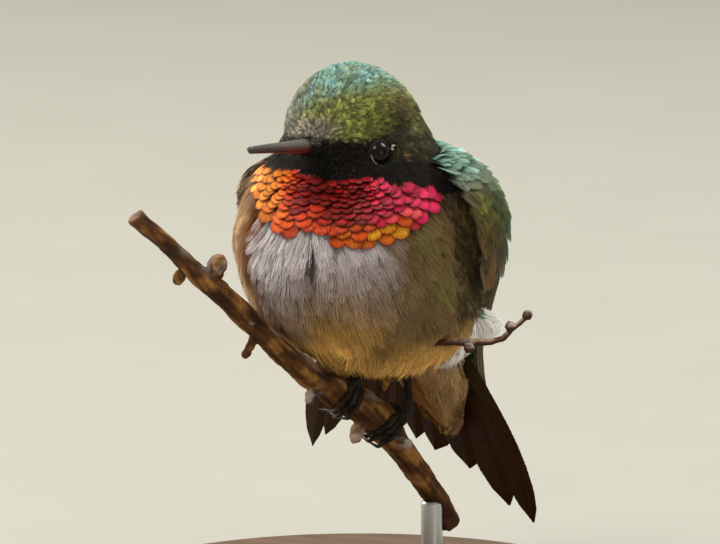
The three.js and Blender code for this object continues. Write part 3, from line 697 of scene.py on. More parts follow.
def marking(points):
    """The colour that skin and coat share at a place."""
    degrees = around(points)
    high = points[..., 2]
    off_tuft = 1 - tuft_share(points)
    behind = smoothstep(96, 112, np.abs(degrees)) * smoothstep(0.0, 3.0, points[..., 1])
    behind = behind * smoothstep(0.4, -0.6, (points - TAIL_BASE) @ TAIL_UNDER) * off_tuft
    wing = smoothstep(0.02, 0.10, trunk_excess(points)) * (high < 11) * (high > -7)
    colour = layered(points, body_colour(points), (back_colour(points), behind),
                     (WING_BROWN, wing * off_tuft))
    throat = (high > gorget_low(degrees) + 0.8) & (high < gorget_top(degrees)) & (np.abs(degrees) < 88)
    # Under the gorget the skin takes the scales' colour darkened to 0.4, as painted shade beneath them.
    colour = np.where(throat[..., None], gorget_colour(points) * 0.4, colour)
    head = (high >= gorget_top(degrees)) & ((np.abs(degrees) < 92) | (high > 10.6))
    return np.where(head[..., None], head_colour(points), colour)


# ------------------------------------------------------------------ skin

FLESH = ["head", "neck", "throat_gorget", "breast", "belly", "back", "undertail_coverts",
         "uppertail_coverts", "flank_tuft_right", "flank_tuft_left",
         "wing_right_coverts", "wing_left_coverts", "wing_right_secondaries",
         "wing_left_secondaries"]
SKIN_VOXEL = 0.36
SKIN_GROWTH = 0.22  # closes the thin cuts between the solids
SKIN_SWELL = 0.22  # height of the soft swellings under the breast's coat
SKIN_ROUNDS = 14
COAT_DEPTH = 0.6
EYE_PIT = 0.8  # how much deeper the skin lies round an eye


def coat_depth(points):
    """How far the skin lies inside the coat's outline, in mm."""
    up = to_head(points)[:, 2]
    face = smoothstep(9.6, 10.8, points[:, 2]) * smoothstep(-4.5, -3.0, up)
    wing = smoothstep(0.0, 0.08, trunk_excess(points)) * smoothstep(11.5, 10.0, points[:, 2])
    depth = COAT_DEPTH - 0.25 * face - 0.3 * wing
    for eye in EYE_PLACES:
        depth = depth + EYE_PIT * smoothstep(2.1, 1.6, np.linalg.norm(points - eye, axis=1))
    return depth + 0.2 * crease(points)


def build_skin():
    points, quads = remeshed(FLESH + ["eye_right", "eye_left"], SKIN_GROWTH, SKIN_VOXEL)
    points = relaxed(points, quads, SKIN_ROUNDS)
    normals = vertex_normals(points, quads)
    swell = SKIN_SWELL * ripple(points, 3.2, 17) * (points[:, 2] < 5) * (points[:, 1] < 4)
    points = points - normals * (coat_depth(points) + SKIN_GROWTH - swell)[:, None]
    points = relaxed(points, quads, 3)
    finish = painted_material("down", 0.95, grain=2600, contrast=0.5, bump=0.08, sheen=0.1, specular=0.1)
    # The skin carries the markings darkened to 0.3, as painted shade under the coat.
    add_piece("skin", finish, "breast_feathers", points, quads, marking(points) * 0.3, replaced=FLESH)
    return Surface(points, quads)


# ------------------------------------------------------------------ the lie of the coat


def head_flow(points):
    """Feathers run back from the bill, then down the nape."""
    h = to_head(points)
    away = unit(h - np.array([0.0, -2.5, 0.6]))
    down = smoothstep(7.0, 14.0, h[..., 1])[..., None] * np.array([0.0, 0.2, -1.1])
    return (away + down) @ HEAD_TURN.T


def body_flow(points):
    """Feathers spread like rays from under the throat, and gather towards the vent."""
    fan = unit(points - np.array([-0.4, -9.0, 8.5]))
    down = np.array([0.0, 0.0, -0.25]) + 0 * points
    down[..., 2] -= 1.2 * smoothstep(5.5, 9.0, points[..., 2])
    aside, openness = parting(points)
    down[..., 0] += 0.3 * np.sign(aside) * np.exp(-(aside / 0.9) ** 2) * openness
    vent = unit(np.array([2.2, 6.0, -13.0]) - points)
    low = smoothstep(-2.0, -7.5, points[..., 2])[..., None]
    return (fan + down) * (1 - low) + vent * low * 1.4


def vent_flow(points):
    """Feathers hang towards the vent."""
    return unit(np.array([1.2, 1.0, -15.0]) - points) * np.array([0.7, 0.5, 1.0])


def gorget_flow(points):
    """The throat's scales point down, and a little outwards at its sides."""
    return np.array([0.0, 0.0, -1.0]) + points * np.array([0.035, 0.0, 0.0])


def tail_flow(points):
    return TAIL_ALONG + 0 * points + 0.02 * (points - TAIL_BASE)


def steady(x, y, z):
    """A lie that is the same everywhere."""
    return lambda points: np.array([x, y, z]) + 0 * points


def spine_of(stations):
    """Each feather's places, normals and directions, from those at each station of its length."""
    return tuple(np.stack(values, 1) for values in zip(*stations))


def trace(surface, root, normal, flow, length, steps, turn):
    """Each feather's middle line from its root, following the flow over a surface."""
    cos, sin = np.cos(turn)[:, None], np.sin(turn)[:, None]
    step = (length / steps)[:, None]
    place, stations = root, []
    for k in range(steps + 1):
        way = tangent(flow(place), normal)
        way = way * cos + np.cross(normal, way) * sin
        stations.append((place, normal, way))
        if k < steps:
            place, next_normal = surface.nearest(place + way * step)
            normal = unit(next_normal + normal)
    return spine_of(stations)


# ------------------------------------------------------------------ feathers from barbs


def along_spine(values, share):
    """Values of each feather's middle line at shares of its length; share is feather by barb."""
    steps = values.shape[1] - 1
    t = np.clip(share, 0, 1) * steps
    i = np.minimum(t.astype(int), steps - 1)
    f = (t - i)[..., None]
    rows = np.arange(len(values))[:, None]
    return values[rows, i] * (1 - f) + values[rows, i + 1] * f


def feathers(name, finish, slot, spine, length, half, colours, bake, *, barbs=9, stops=(0, 0.5, 1),
             barb_width=0.04, root_width=0.4, fan=0.5, roundness=0.5, sink=0.12, lift=0.12, curl=0.05,
             camber=0.08, blinds=0.3, taper=0.7, loose=0.0, tuft_tone=0.18, barb_tone=0.25,
             tone=((0, 0.55), (0.6, 1.0), (1, 0.9)), ridge=0.0, groove_shade=0.3, edge=None, seed=1):
    """A piece of joined feathers. Each is a row of barbs side by side that ends in a rounded tip.

    spine is (places, normals, directions) along each feather, length and half width are per
    feather, bake gives each feather's place on the OFBake map. A ridge height makes each barb a
    small roof, with a painted highlight on its ridge and painted shade in the groove. The tone
    from root to tip darkens each root, partly as painted shade where other feathers overlap it.
    """
    rng = np.random.default_rng(seed)
    places, normals, ways = spine
    count = len(places)
    t = np.linspace(-1, 1, barbs)[None, :] + rng.normal(0, loose / barbs + 1e-6, (count, barbs))
    reach = 1 - roundness * (1 - np.sqrt(np.clip(1 - t * t, 0, 1)))
    reach = reach * (1 - np.abs(rng.normal(0, 0.02 + 0.14 * loose, (count, barbs))))
    tilt = blinds * (1 + rng.normal(0, 0.6, (count, barbs)))
    layer = rng.uniform(-0.03, 0.03, (count, 1))
    rise = lift * rng.uniform(0.8, 1.2, (count, 1))
    wander = rng.normal(0, 0.10 * loose, (count, barbs))
    tuft_shade = np.exp(rng.normal(0, tuft_tone, (count, 1)))
    barb_shade = np.exp(rng.normal(0, barb_tone, (count, barbs)))
    # Each barb's cross-section: places across it, with their height and tone; a roof's tone is a painted
    # highlight on the ridge and painted shade in the grooves.
    section = ((-1, 0, 1), (1, 0, 1))
    if ridge:
        section = ((-1, 0, groove_shade), (0, ridge, RIDGE_HIGHLIGHT), (1, 0, groove_shade))
    rings, paints, maps = [], [], []
    long = length[:, None]
    for stop in stops:
        share = reach * stop
        middle = along_spine(places, share)
        up = unit(along_spine(normals, share))
        way = unit(along_spine(ways, share))
        side = np.cross(up, way)
        open_width = root_width + (1 - root_width) * share ** fan
        offset = half[:, None] * t * open_width + wander * long * share
        height = (layer - sink * (1 - share) + rise * share + curl * long * share ** 2
                  - camber * half[:, None] * t * t)
        centre = middle + side * offset[..., None] + up * height[..., None]
        across = side * np.cos(tilt)[..., None] + up * np.sin(tilt)[..., None]
        width = barb_width * (1 - taper * share ** 3)
        # Each feather darkens towards its root, partly as painted shade under the feathers that overlap it.
        shade = np.interp(share, *zip(*tone)) * tuft_shade * barb_shade
        colour = colours[:, None, :] * shade[..., None]
        if edge is not None:
            colour = blend(colour, edge, np.full_like(share, smoothstep(0.86, 1.0, stop)))
        for q, peak, painted_light in section:
            rings.append(centre + across * (q * width)[..., None] + up * peak)
            paints.append(colour * painted_light)
            maps.append(bake[:, None, :] + PATCH * np.stack([0.45 * t + 0.05 * q, share - 0.5], -1))
    points, paint = (np.stack(values, 2).reshape(-1, 3) for values in (rings, paints))
    uv = np.stack(maps, 2).reshape(-1, 2)
    index = np.arange(len(points)).reshape(count * barbs, len(stops), len(section))
    strips = [[index[:, :-1, m], index[:, :-1, m + 1], index[:, 1:, m + 1], index[:, 1:, m]]
              for m in range(len(section) - 1)]
    quads = np.vstack([np.stack(strip, -1).reshape(-1, 4) for strip in strips])
    add_piece(name, finish, slot, points, quads, paint, np.clip(uv, 0, 1))


def unwrapped(away, x, top):
    """Places on a map of a ball: the turn of each direction round its axis, and angle off it."""
    turn = np.arctan2(away[..., 0], x) / (2 * math.pi) + 0.5
    fall = np.arccos(np.clip(away[..., top], -1, 1)) / math.pi
    return np.stack([turn * 0.98 + 0.01, fall * 0.98 + 0.01], -1)


def body_unwrap(points):
    """A map of the trunk round an upright line through its middle."""
    away = unit(points - np.array([0.0, -1.0, 1.5]))
    return unwrapped(away, -away[..., 1], 2)


def head_unwrap(points):
    """A map of the head round the line from the bill to the nape."""
    away = unit(to_head(points) - np.array([0.0, 9.0, 1.0]))
    return unwrapped(away, away[..., 2], 1)


def grow_coat(name, surface, finish, slot, spacing, wanted, flow, long, wide, colour, unwrap, seed,
              steps=3, turn=0.12, size=None, mix=0.0, **details):
    """Feathers rooted all over part of a surface, coloured as the place where their tips show.

    mix is how far, in mm, that place strays, so that two colours mingle where they meet.
    """
    rng = np.random.default_rng(seed + 100)
    root, normal = surface.scatter(spacing, wanted, seed)
    scale = np.ones(len(root)) if size is None else size(root)
    scale = scale * rng.uniform(0.85, 1.15, len(root))
    length = long * scale
    spine = trace(surface, root, normal, flow, length, steps, rng.normal(0, turn, len(root)))
    shown = root * 0.35 + spine[0][:, -1] * 0.65 + rng.normal(0, mix, root.shape)
    feathers(name, finish, slot, spine, length, wide * scale, colour(shown), unwrap(root), seed=seed,
             **details)


# ------------------------------------------------------------------ the head's coat and gorget


def is_head(points):
    degrees, high = around(points), points[:, 2]
    return (high >= gorget_top(degrees) - 0.2) & ((np.abs(degrees) < 92) | (high > 10.4))


def clear_of_eyes(points, radius):
    """Which points lie further than a radius from the line that each eye looks along."""
    clear = np.ones(len(points), bool)
    for (side, word), eye in zip(SIDES, EYE_PLACES):
        outward = eye_outward(side, word)
        away = points - eye
        ahead = away @ outward
        aside = np.linalg.norm(away - ahead[:, None] * outward, axis=1)
        clear &= (aside > radius) | (ahead < -0.5)
    return clear


def build_head_coat(skin):
    shiny = painted_material("crown_plumage", 0.5, grain=5000, metallic=0.15, specular=0.3)
    dark = painted_material("face_feathers", 0.85, grain=5000, sheen=0.1, specular=0.15)

    def part(lowest, highest):
        def wanted(points):
            up = to_head(points)[:, 2]
            return is_head(points) & (up > lowest) & (up <= highest) & clear_of_eyes(points, EYE_OPENING)
        return wanted

    def size(points):
        back = to_head(points)[:, 1]
        grown = np.interp(back, (1, 4, 12, 16), (0.6, 0.85, 1.1, 1.5))
        return grown * np.where(clear_of_eyes(points, EYE_OPENING + 0.7), 1.0, 0.55)

    style = dict(size=size, root_width=0.5, camber=0.25)
    grow_coat("crown_feathers", skin, shiny, "crown_feathers", 0.315, part(0.5, np.inf), head_flow, 0.9,
              0.28, head_colour, head_unwrap, 31, barbs=12, barb_width=0.025, sink=0.05, lift=0.17,
              curl=0.08, loose=0.55, tuft_tone=0.26, barb_tone=0.26,
              tone=((0, 0.4), (0.5, 0.8), (1, 1.18)), turn=0.35, mix=0.15, **style)
    grow_coat("face_feathers", skin, dark, "crown_feathers", 0.34, part(-np.inf, 0.8), head_flow, 1.0,
              0.32, head_colour, head_unwrap, 37, barb_width=0.036, lift=0.16, loose=0.5,
              tuft_tone=0.25, barb_tone=0.35, tone=((0, 0.4), (0.5, 0.8), (1, 1.6)), turn=0.25, **style)


def surface_at(surface, degrees, high):
    """Where level rays towards the trunk's middle line meet the surface."""
    places, normals = [], []
    for turn, z in zip(np.radians(degrees), high):
        out = Vector((math.sin(turn), -math.cos(turn), 0.0))
        where, normal, _, _ = surface.tree.ray_cast(Vector((0.0, -2.0, z)) + out * 25, -out)
        places.append(where)
        normals.append(normal)
    return np.array(places), np.array(normals)


# How far each row of gorget scales ends above the throat's lower border.
GORGET_ROWS = [-0.05, 0.78, 1.5, 2.15, 2.75, 3.3, 3.8, 4.3, 4.75, 5.2, 5.6, 6.0, 6.4]
SCALE_LENGTH = 2.2  # in radii of the scale
THROAT_RADIUS = 11.8  # from the trunk's upright middle line to the scales, about
SCALE_GAP = 1.55  # between neighbours in a row, in radii


def gorget_rows(rng):
    """Where the gorget's scales end: degrees, heights and radii, in rows that follow its border."""
    scales = []
    for row, rise in enumerate(GORGET_ROWS):
        degrees = -84.0 + (row % 2) * 3.6
        while degrees < 87:
            sideways = smoothstep(22, 66, abs(degrees))
            high = gorget_low(degrees) + rise * (1 + 0.25 * sideways)
            radius = 1.14 - 0.115 * max(rise, 0) * (1 - 0.55 * sideways)
            radius = max(radius, 0.5) * rng.uniform(0.92, 1.08)
            if high < gorget_top(degrees) - 0.6 * radius:
                scales.append((degrees + rng.normal(0, 0.5), high + rng.normal(0, 0.07), radius))
            degrees += math.degrees(radius * SCALE_GAP / THROAT_RADIUS)
    return np.array(scales).T


def build_gorget(skin):
    """Overlapping round scales of bright colour, darkened towards the root and ending in a dark maroon edge;
    both darkenings are partly painted shade from the overlap.
    """
    rng = np.random.default_rng(41)
    degrees, high, radius = gorget_rows(rng)
    tip, normal = surface_at(skin, degrees, high)
    length = radius * SCALE_LENGTH
    way = tangent(gorget_flow(tip), normal)
    root, normal = skin.nearest(tip - way * length[:, None])
    spine = trace(skin, root, normal, gorget_flow, length, 4, rng.normal(0, 0.09, len(root)))
    colour = gorget_colour(tip) * np.exp(rng.normal(0, 0.2, (len(tip), 1)))
    finish = painted_material("gorget_sheen", 0.42, grain=3500, contrast=0.2, metallic=0.4, specular=0.35)
    # The dark root tone and the maroon edge are partly painted shade where the scales overlap.
    feathers("gorget_scales", finish, "gorget_feathers", spine, length, radius, colour,
             body_unwrap(root), barbs=17, stops=(0, 0.35, 0.6, 0.8, 0.93, 1), barb_width=0.068,
             root_width=0.6, roundness=0.46, sink=0.3, lift=0.42, curl=-0.01, camber=0.07, blinds=0.0,
             taper=0.2, tuft_tone=0.06, barb_tone=0.14, tone=((0, 0.15), (0.45, 0.35), (0.7, 0.9), (1, 1.4)),
             ridge=0.045, groove_shade=0.15, edge=MAROON_EDGE_SHADE, seed=43)


# ------------------------------------------------------------------ the trunk's coat

FRONT_ENDS = (-48, 48)  # degrees where the flanks begin; the parts below are right, front, left
FLANK_RIGHT, FRONT, FLANK_LEFT = 0, 1, 2
# Name, finish slot, lowest and highest root, and the parts of the turn that each piece covers.
FRONT_PARTS = (("breast_feathers", "breast_feathers", -1.6, 20, (FRONT,)),
               ("flank_feathers_left", "breast_feathers", -3.4, 20, (FLANK_LEFT,)),
               ("flank_feathers_right", "breast_feathers", -3.4, 20, (FLANK_RIGHT,)),
               ("belly_feathers", "belly_feathers", -20, -1.6, (FRONT,)),
               ("belly_feathers_sides", "belly_feathers", -20, -3.4, (FLANK_RIGHT, FLANK_LEFT)))
FIVE_STOPS = (0, 0.25, 0.5, 0.75, 1)
# Few broad barbs, whose edges overlap a little, for the green feathers of the back.
GREEN_STYLE = dict(barbs=15, stops=FIVE_STOPS, barb_width=0.072, root_width=0.5, roundness=0.35,
                   camber=0.12)


def is_front(points):
    """Breast, flanks and belly: from under the gorget's lower rows down, in front of the wings."""
    degrees, high = around(points), points[:, 2]
    low = np.where(np.abs(degrees) < 88, gorget_low(degrees) + 1.5, 10.2)
    return ((high < low) & (np.abs(degrees) < 112) & (high > -10.9) & (points[:, 1] < 7.0)
            & (trunk_excess(points) < 0.05))


def build_front_coat(skin):
    finish = painted_material("breast_plumage", 0.9, grain=4200, contrast=0.2, sheen=0.08, specular=0.12)

    def part(lowest, highest, sectors):
        def wanted(points):
            inside = is_front(points) & (points[:, 2] >= lowest) & (points[:, 2] < highest)
            here = np.isin(np.digitize(around(points), FRONT_ENDS), sectors)
            return inside & here & (crease(points) < 0.7)
        return wanted

    def size(points):
        return 1 + 0.35 * smoothstep(-6.5, -9.0, points[:, 2])

    for i, (name, slot, *place) in enumerate(FRONT_PARTS):
        grow_coat(name, skin, finish, slot, 0.62, part(*place), body_flow, 3.2, 0.9, body_colour,
                  body_unwrap, 51 + 2 * i, size=size, steps=4, barbs=31, stops=(0, 0.3, 0.65, 1),
                  barb_width=0.024, root_width=0.12, fan=0.85, roundness=0.65, sink=0.1, lift=0.36,
                  curl=0.015, camber=0.22, loose=0.55, blinds=0.2, taper=0.6, tuft_tone=0.07,
                  barb_tone=0.12, tone=((0, 0.5), (0.5, 0.85), (1, 1.12)), turn=0.10, mix=0.3)


def build_vent_tufts(skin):
    """Longer ragged feathers that hang from the belly over the perch and the legs."""
    def wanted(points):
        degrees = around(points)
        return (points[:, 2] < -6.2) & (points[:, 1] < 2.5) & (degrees > -60) & (degrees < 100)

    grow_coat("vent_tufts", skin, FINISHES["breast_plumage"], "belly_feathers", 1.0, wanted, vent_flow,
              3.4, 0.75, body_colour, body_unwrap, 57, steps=4, barbs=21, stops=(0, 0.35, 0.7, 1),
              barb_width=0.023, root_width=0.25, fan=0.6, roundness=0.7, lift=1.2, curl=0.05, camber=0.2,
              loose=1.1, tuft_tone=0.12, barb_tone=0.2, tone=((0, 0.5), (0.5, 0.85), (1, 1.15)),
              turn=0.25)


def build_back_coat(skin):
    finish = painted_material("back_plumage", 0.36, grain=3800, metallic=0.4, coat=0.1)

    def wanted(points):
        high = points[:, 2]
        behind = (np.abs(around(points)) > 96) & (high < 11.0) & (high > -8.0) & (points[:, 1] > 2)
        return behind & (tuft_share(points) < 0.3)

    grow_coat("back_feathers", skin, finish, "back_feathers", 0.75, wanted, steady(0.0, 0.45, -1.0), 2.5,
              0.85, back_colour, body_unwrap, 71, sink=0.15, lift=0.3, curl=0.02, loose=0.15,
              blinds=0.25, tuft_tone=0.2, barb_tone=0.18, tone=((0, 0.3), (0.5, 0.8), (1, 1.25)),
              turn=0.08, **GREEN_STYLE)


def build_axillaries(skin):
    """Feathers that fill the fold between the flank and the wing, and the right shoulder's front; in the
    left fold they are dark brown as painted shade.
    """
    finish = painted_material("axillary_feathers", 0.7, grain=3600, specular=0.25)

    def wanted(points):
        degrees, excess, high = around(points), trunk_excess(points), points[:, 2]
        left = (degrees > 86) & (degrees < 125) & (high < 9.6) & (high > -2.0) & (excess < 0.15)
        right = (degrees < -84) & (degrees > -118) & (high < 10.6) & (high > -3.5) & (excess < 0.6)
        return left | right & ((excess > 0.03) | (degrees < -104))

    def colour(points):
        # Brown on the left side is painted shade in the fold; tan at the right shoulder's front is partly a
        # painted highlight.
        return layered(points, DRAB, (LIT_TAN, smoothstep(-106, -90, around(points)) * 0.5),
                       (FOLD_SHADE, smoothstep(-1.0, 1.0, points[:, 0])))

    grow_coat("axillary_feathers", skin, finish, "back_feathers", 0.62, wanted, steady(0.0, 0.1, -1.0),
              2.6, 0.9, colour, body_unwrap, 61, steps=4, barbs=15, stops=(0, 0.3, 0.6, 0.8, 1),
              barb_width=0.05, root_width=0.3, lift=0.5, curl=0.02, loose=0.5, turn=0.15)


def build_tufts(skin):
    """Loose white down beside each flank's rear, trailing down beside the tail's base."""
    finish = painted_material("tuft_down", 0.9, grain=3000, contrast=0.12, sheen=0.3, specular=0.15)

    def colour(points):
        return layered(points, TUFT_TAN, (SNOW, smoothstep(-10.5, -7.5, points[:, 2])))

    for side, word in SIDES:
        def wanted(points):
            return (tuft_share(points) > 0.25) & (points[:, 0] * side > 3.0)

        grow_coat(f"flank_tuft_down_{word}", skin, finish, "tuft_feathers", 0.42, wanted,
                  steady(0.15 * side, 0.15, -0.9), 2.6, 0.8, colour, body_unwrap, 131 + side, barbs=17,
                  stops=(0, 0.35, 0.7, 1), barb_width=0.032, root_width=0.2, lift=0.75, loose=0.8,
                  turn=0.3, barb_tone=0.08, tuft_tone=0.06, tone=((0, 0.8), (1, 1.1)))


# ------------------------------------------------------------------ wings

# The left wing's front and rear edges from the shoulder to the tip, and its outer swell.
WING_FRONT = [(8.4, -2.0, 12.2), (11.8, -2.4, 9.2), (12.9, -0.6, 5.0), (12.2, 2.0, 0.0),
              (10.5, 5.6, -5.4), (8.0, 11.8, -11.0), (5.4, 22.4, -17.0)]
WING_REAR = [(4.2, 5.6, 12.9), (8.0, 9.4, 10.4), (9.2, 11.8, 6.0), (8.2, 13.4, 1.0),
             (6.4, 15.4, -3.6), (5.2, 19.0, -9.0), (4.6, 24.6, -16.2)]
WING_SWELL = [(1.5,), (2.1,), (2.3,), (2.1,), (1.6,), (0.9,), (0.3,)]
RIGHT_WING_LIFT = [(0, 0, 0), (0, 0, 0), (0, 0.4, 0), (0, 1.2, 0.1), (0, 3.0, 0.6), (0, 5.4, 1.4),
                   (0, 5.0, 2.8)]
WING_LENGTH = 44.0
COVERT_LENGTH = 3.1  # in radii of the feather
COVERT_ROWS = np.concatenate([np.linspace(-0.02, 0.34, 11), [0.40, 0.46]])  # shares down the wing
PRIMARIES = 10
SECONDARIES = 6
FLIGHT_WIDTH = 1.45  # widest reach of a flight feather's vane
SUNK = 0.6  # depth of the flight feathers' bases under the coverts
CORE_GROWTH = 0.2
CORE_VOXEL = 0.3
CORE_DEPTH = 0.3  # of the wing's core inside its node


def wing_surface(side, down, chord_share):
    """A place on the wing's outer face: share of the way down it, and from front to rear edge."""
    front, rear = smooth_rows(WING_FRONT, down), smooth_rows(WING_REAR, down)
    if side < 0:
        lift = smooth_rows(RIGHT_WING_LIFT, down) - np.array([1.1, -1.0, 0])
        front, rear = front + lift, rear + lift
    chord = rear - front
    outward = unit(np.stack([chord[..., 1], -chord[..., 0], 0 * chord[..., 0]], -1))
    swell = smooth_rows(WING_SWELL, down) * np.sin(math.pi * np.clip(chord_share, 0, 1))[..., None]
    place = front + chord * np.asarray(chord_share)[..., None] + outward * swell
    return place * np.array([side, 1, 1])


def wing_frame(side, down, chord_share):
    """The place with its outward normal and its direction towards the tip."""
    def change(d, c):
        return (wing_surface(side, down + d, chord_share + c)
                - wing_surface(side, down - d, chord_share - c))

    step = 0.01
    along = change(step, 0)
    normal = unit(np.cross(along, change(0, step)))
    normal = np.where(normal[..., :1] * side < 0, -normal, normal)
    return wing_surface(side, down, chord_share), normal, unit(along)


def wing_colour(down, chord_share, rng):
    """Dull green, glinting blue-green on the shoulder's rear, with brown painted shade in the fold by the
    flank.
    """
    glint = smoothstep(0.45, 0.9, chord_share) * smoothstep(0.42, 0.16, down)
    glint = np.maximum(glint, smoothstep(0.14, 0.03, down)) * rng.uniform(0.3, 1, len(down))
    # Painted shade: brown in the fold between the wing's front edge and the flank.
    fold = smoothstep(0.34, 0.05, chord_share) * smoothstep(0.08, 0.2, down)
    tip = down - 0.12 * smoothstep(0.25, 0.5, chord_share)
    olive = np.exp(-((chord_share - 0.13) / 0.1) ** 2 - ((down - 0.2) / 0.07) ** 2)
    colour = layered(np.zeros((len(down), 3)), BOTTLE,
                     (EMERALD, smoothstep(0.3, 0.7, chord_share)), (TURQUOISE, glint),
                     (WING_BROWN, fold * 0.9), (WING_BROWN, smoothstep(0.34, 0.46, tip)),
                     (WING_OLIVE, olive * 0.9))
    return colour * np.exp(rng.normal(0, 0.25, (len(down), 1)))


def build_wing_coverts(side, word, finish):
    """Rows of small rounded feathers down the shoulder, growing towards the flight feathers."""
    rng = np.random.default_rng(81 + side)
    rows = []
    for row, start in enumerate(COVERT_ROWS):
        radius = np.interp(start, (0, 0.2, 0.36, 0.46), (0.7, 0.95, 1.2, 1.3))
        number = int(np.interp(start, (0, 0.15, 0.5), (11, 15, 11)) / radius / 0.9)
        for k in range(number):
            down = start + rng.normal(0, 0.008)
            across = (k + 0.5 * (row % 2) + rng.normal(0, 0.12)) / (number - 0.5) * 1.06 - 0.03
            rows.append((down, across, radius * rng.uniform(0.85, 1.15)))
    down, across, radius = np.array(rows).T
    length = radius * COVERT_LENGTH
    steps = 4
    spine = spine_of(wing_frame(side, down + length / WING_LENGTH * k / steps, across)
                     for k in range(steps + 1))
    bake = np.stack([np.clip(across, 0, 1) * 0.9 + 0.05, np.clip(down, 0, 1) * 1.6 + 0.08], -1)
    feathers(f"wing_covert_feathers_{word}", finish, "back_feathers", spine, length, radius,
             wing_colour(down, across, rng), bake, barbs=21, stops=FIVE_STOPS, barb_width=0.075,
             root_width=0.5, roundness=0.4, sink=0.1, lift=0.5, curl=0.0, camber=0.12, loose=0.3,
             blinds=0.2, tuft_tone=0.1, barb_tone=0.15, tone=((0, 0.3), (0.5, 0.75), (1, 1.2)),
             seed=85 + side)


# ------------------------------------------------------------------ long vanes

RAGGED = 0.04  # about how much of its reach a barb may lose
VANE_STATIONS = 26
SHAFT_STATIONS = 22


def vane(places, normals, left, right, pitch, sweep, rng, shaft, camber, turned=None):
    """A long feather: barbs slanting from a shaft to two edges. Arrays run from base to tip.

    turned is the direction that the right edge has to face. Returns points, quads, a tone for
    each point, and its place across (-1 to 1) and along.
    """
    sides = unit(np.cross(normals, np.gradient(places, axis=0)))
    if turned is not None and sides[10] @ turned < 0:
        sides = -sides
    run = np.concatenate([[0], np.cumsum(np.linalg.norm(np.diff(places, axis=0), axis=1))])
    total = run[-1]
    share_of = run / total

    def frame_at(share):
        return (np.stack([np.interp(share, share_of, column) for column in values.T], -1)
                for values in (places, sides, normals))

    points, quads, tones, spots = [], [], [], []
    base = 0
    for sign, reach in ((-1, left), (1, right)):
        starts = np.arange(0.015, 0.995, pitch / total)
        ends = np.minimum(starts + sweep * np.interp(starts, share_of, reach) / total, 1.0)
        clumps = np.interp(starts, np.linspace(0, 1, 14), rng.uniform(0, 1, 14))
        whole = 1 - RAGGED * np.abs(rng.normal(0, 0.4, len(starts))) - RAGGED * clumps
        tone = np.exp(rng.normal(0, 0.12, len(starts))) + 0.2 * (clumps - 0.5)
        for q in (0.0, 0.5, 1.0):
            share = starts + (ends - starts) * q
            # Painted shade on the sunken half of each barb, full tone on its raised half.
            for half, rise, painted_light in ((-0.7, -0.012, 0.8), (0.7, 0.018, 1.0)):
                at = np.clip(share + half * pitch / total, 0, 1)
                centre, side, up = frame_at(at)
                out = sign * np.interp(at, share_of, reach) * whole * q
                points.append(centre + side * out[:, None] + up * (rise - camber * q * q))
                spots.append(np.stack([np.full(len(at), sign * q), at], -1))
                tones.append(tone * painted_light)
        index = base + np.arange(6 * len(starts)).reshape(3, 2, -1)
        for a, b in ((0, 1), (1, 2)):
            quads.append(np.stack([index[a, 0], index[a, 1], index[b, 1], index[b, 0]], -1))
        base += index.size
    stations = np.linspace(0, 0.985, SHAFT_STATIONS)
    centre, side, up = frame_at(stations)
    radius = shaft * (1 - 0.8 * stations)[:, None]
    points += [centre + side * radius, centre + up * radius, centre - side * radius, centre - up * radius]
    tones.append(np.full(4 * len(stations), 0.8))
    spots.append(np.tile(np.stack([0 * stations, stations], -1), (4, 1)))
    index = base + np.arange(4 * len(stations)).reshape(4, -1)
    for a, b in ((0, 1), (1, 2), (2, 3), (3, 0)):
        quads.append(np.stack([index[a, :-1], index[b, :-1], index[b, 1:], index[a, 1:]], -1))
    return np.vstack(points), np.vstack(quads), np.concatenate(tones), np.vstack(spots)


def join_vanes(name, finish, slot, vanes, colour_of, replaced=()):
    """One piece from several long feathers; each has its own strip of the OFBake map."""
    points, quads, paints, maps = [], [], [], []
    base = 0
    for i, (places, faces, tone, spot) in enumerate(vanes):
        points.append(places)
        quads.append(faces + base)
        paints.append(colour_of(i, places, spot) * tone[:, None])
        across, along = spot.T
        maps.append(np.stack([(i + 0.5 + 0.42 * across) / len(vanes), 0.02 + 0.96 * along], -1))
        base += len(places)
    add_piece(name, finish, slot, *map(np.vstack, (points, quads, paints, maps)), replaced=replaced)


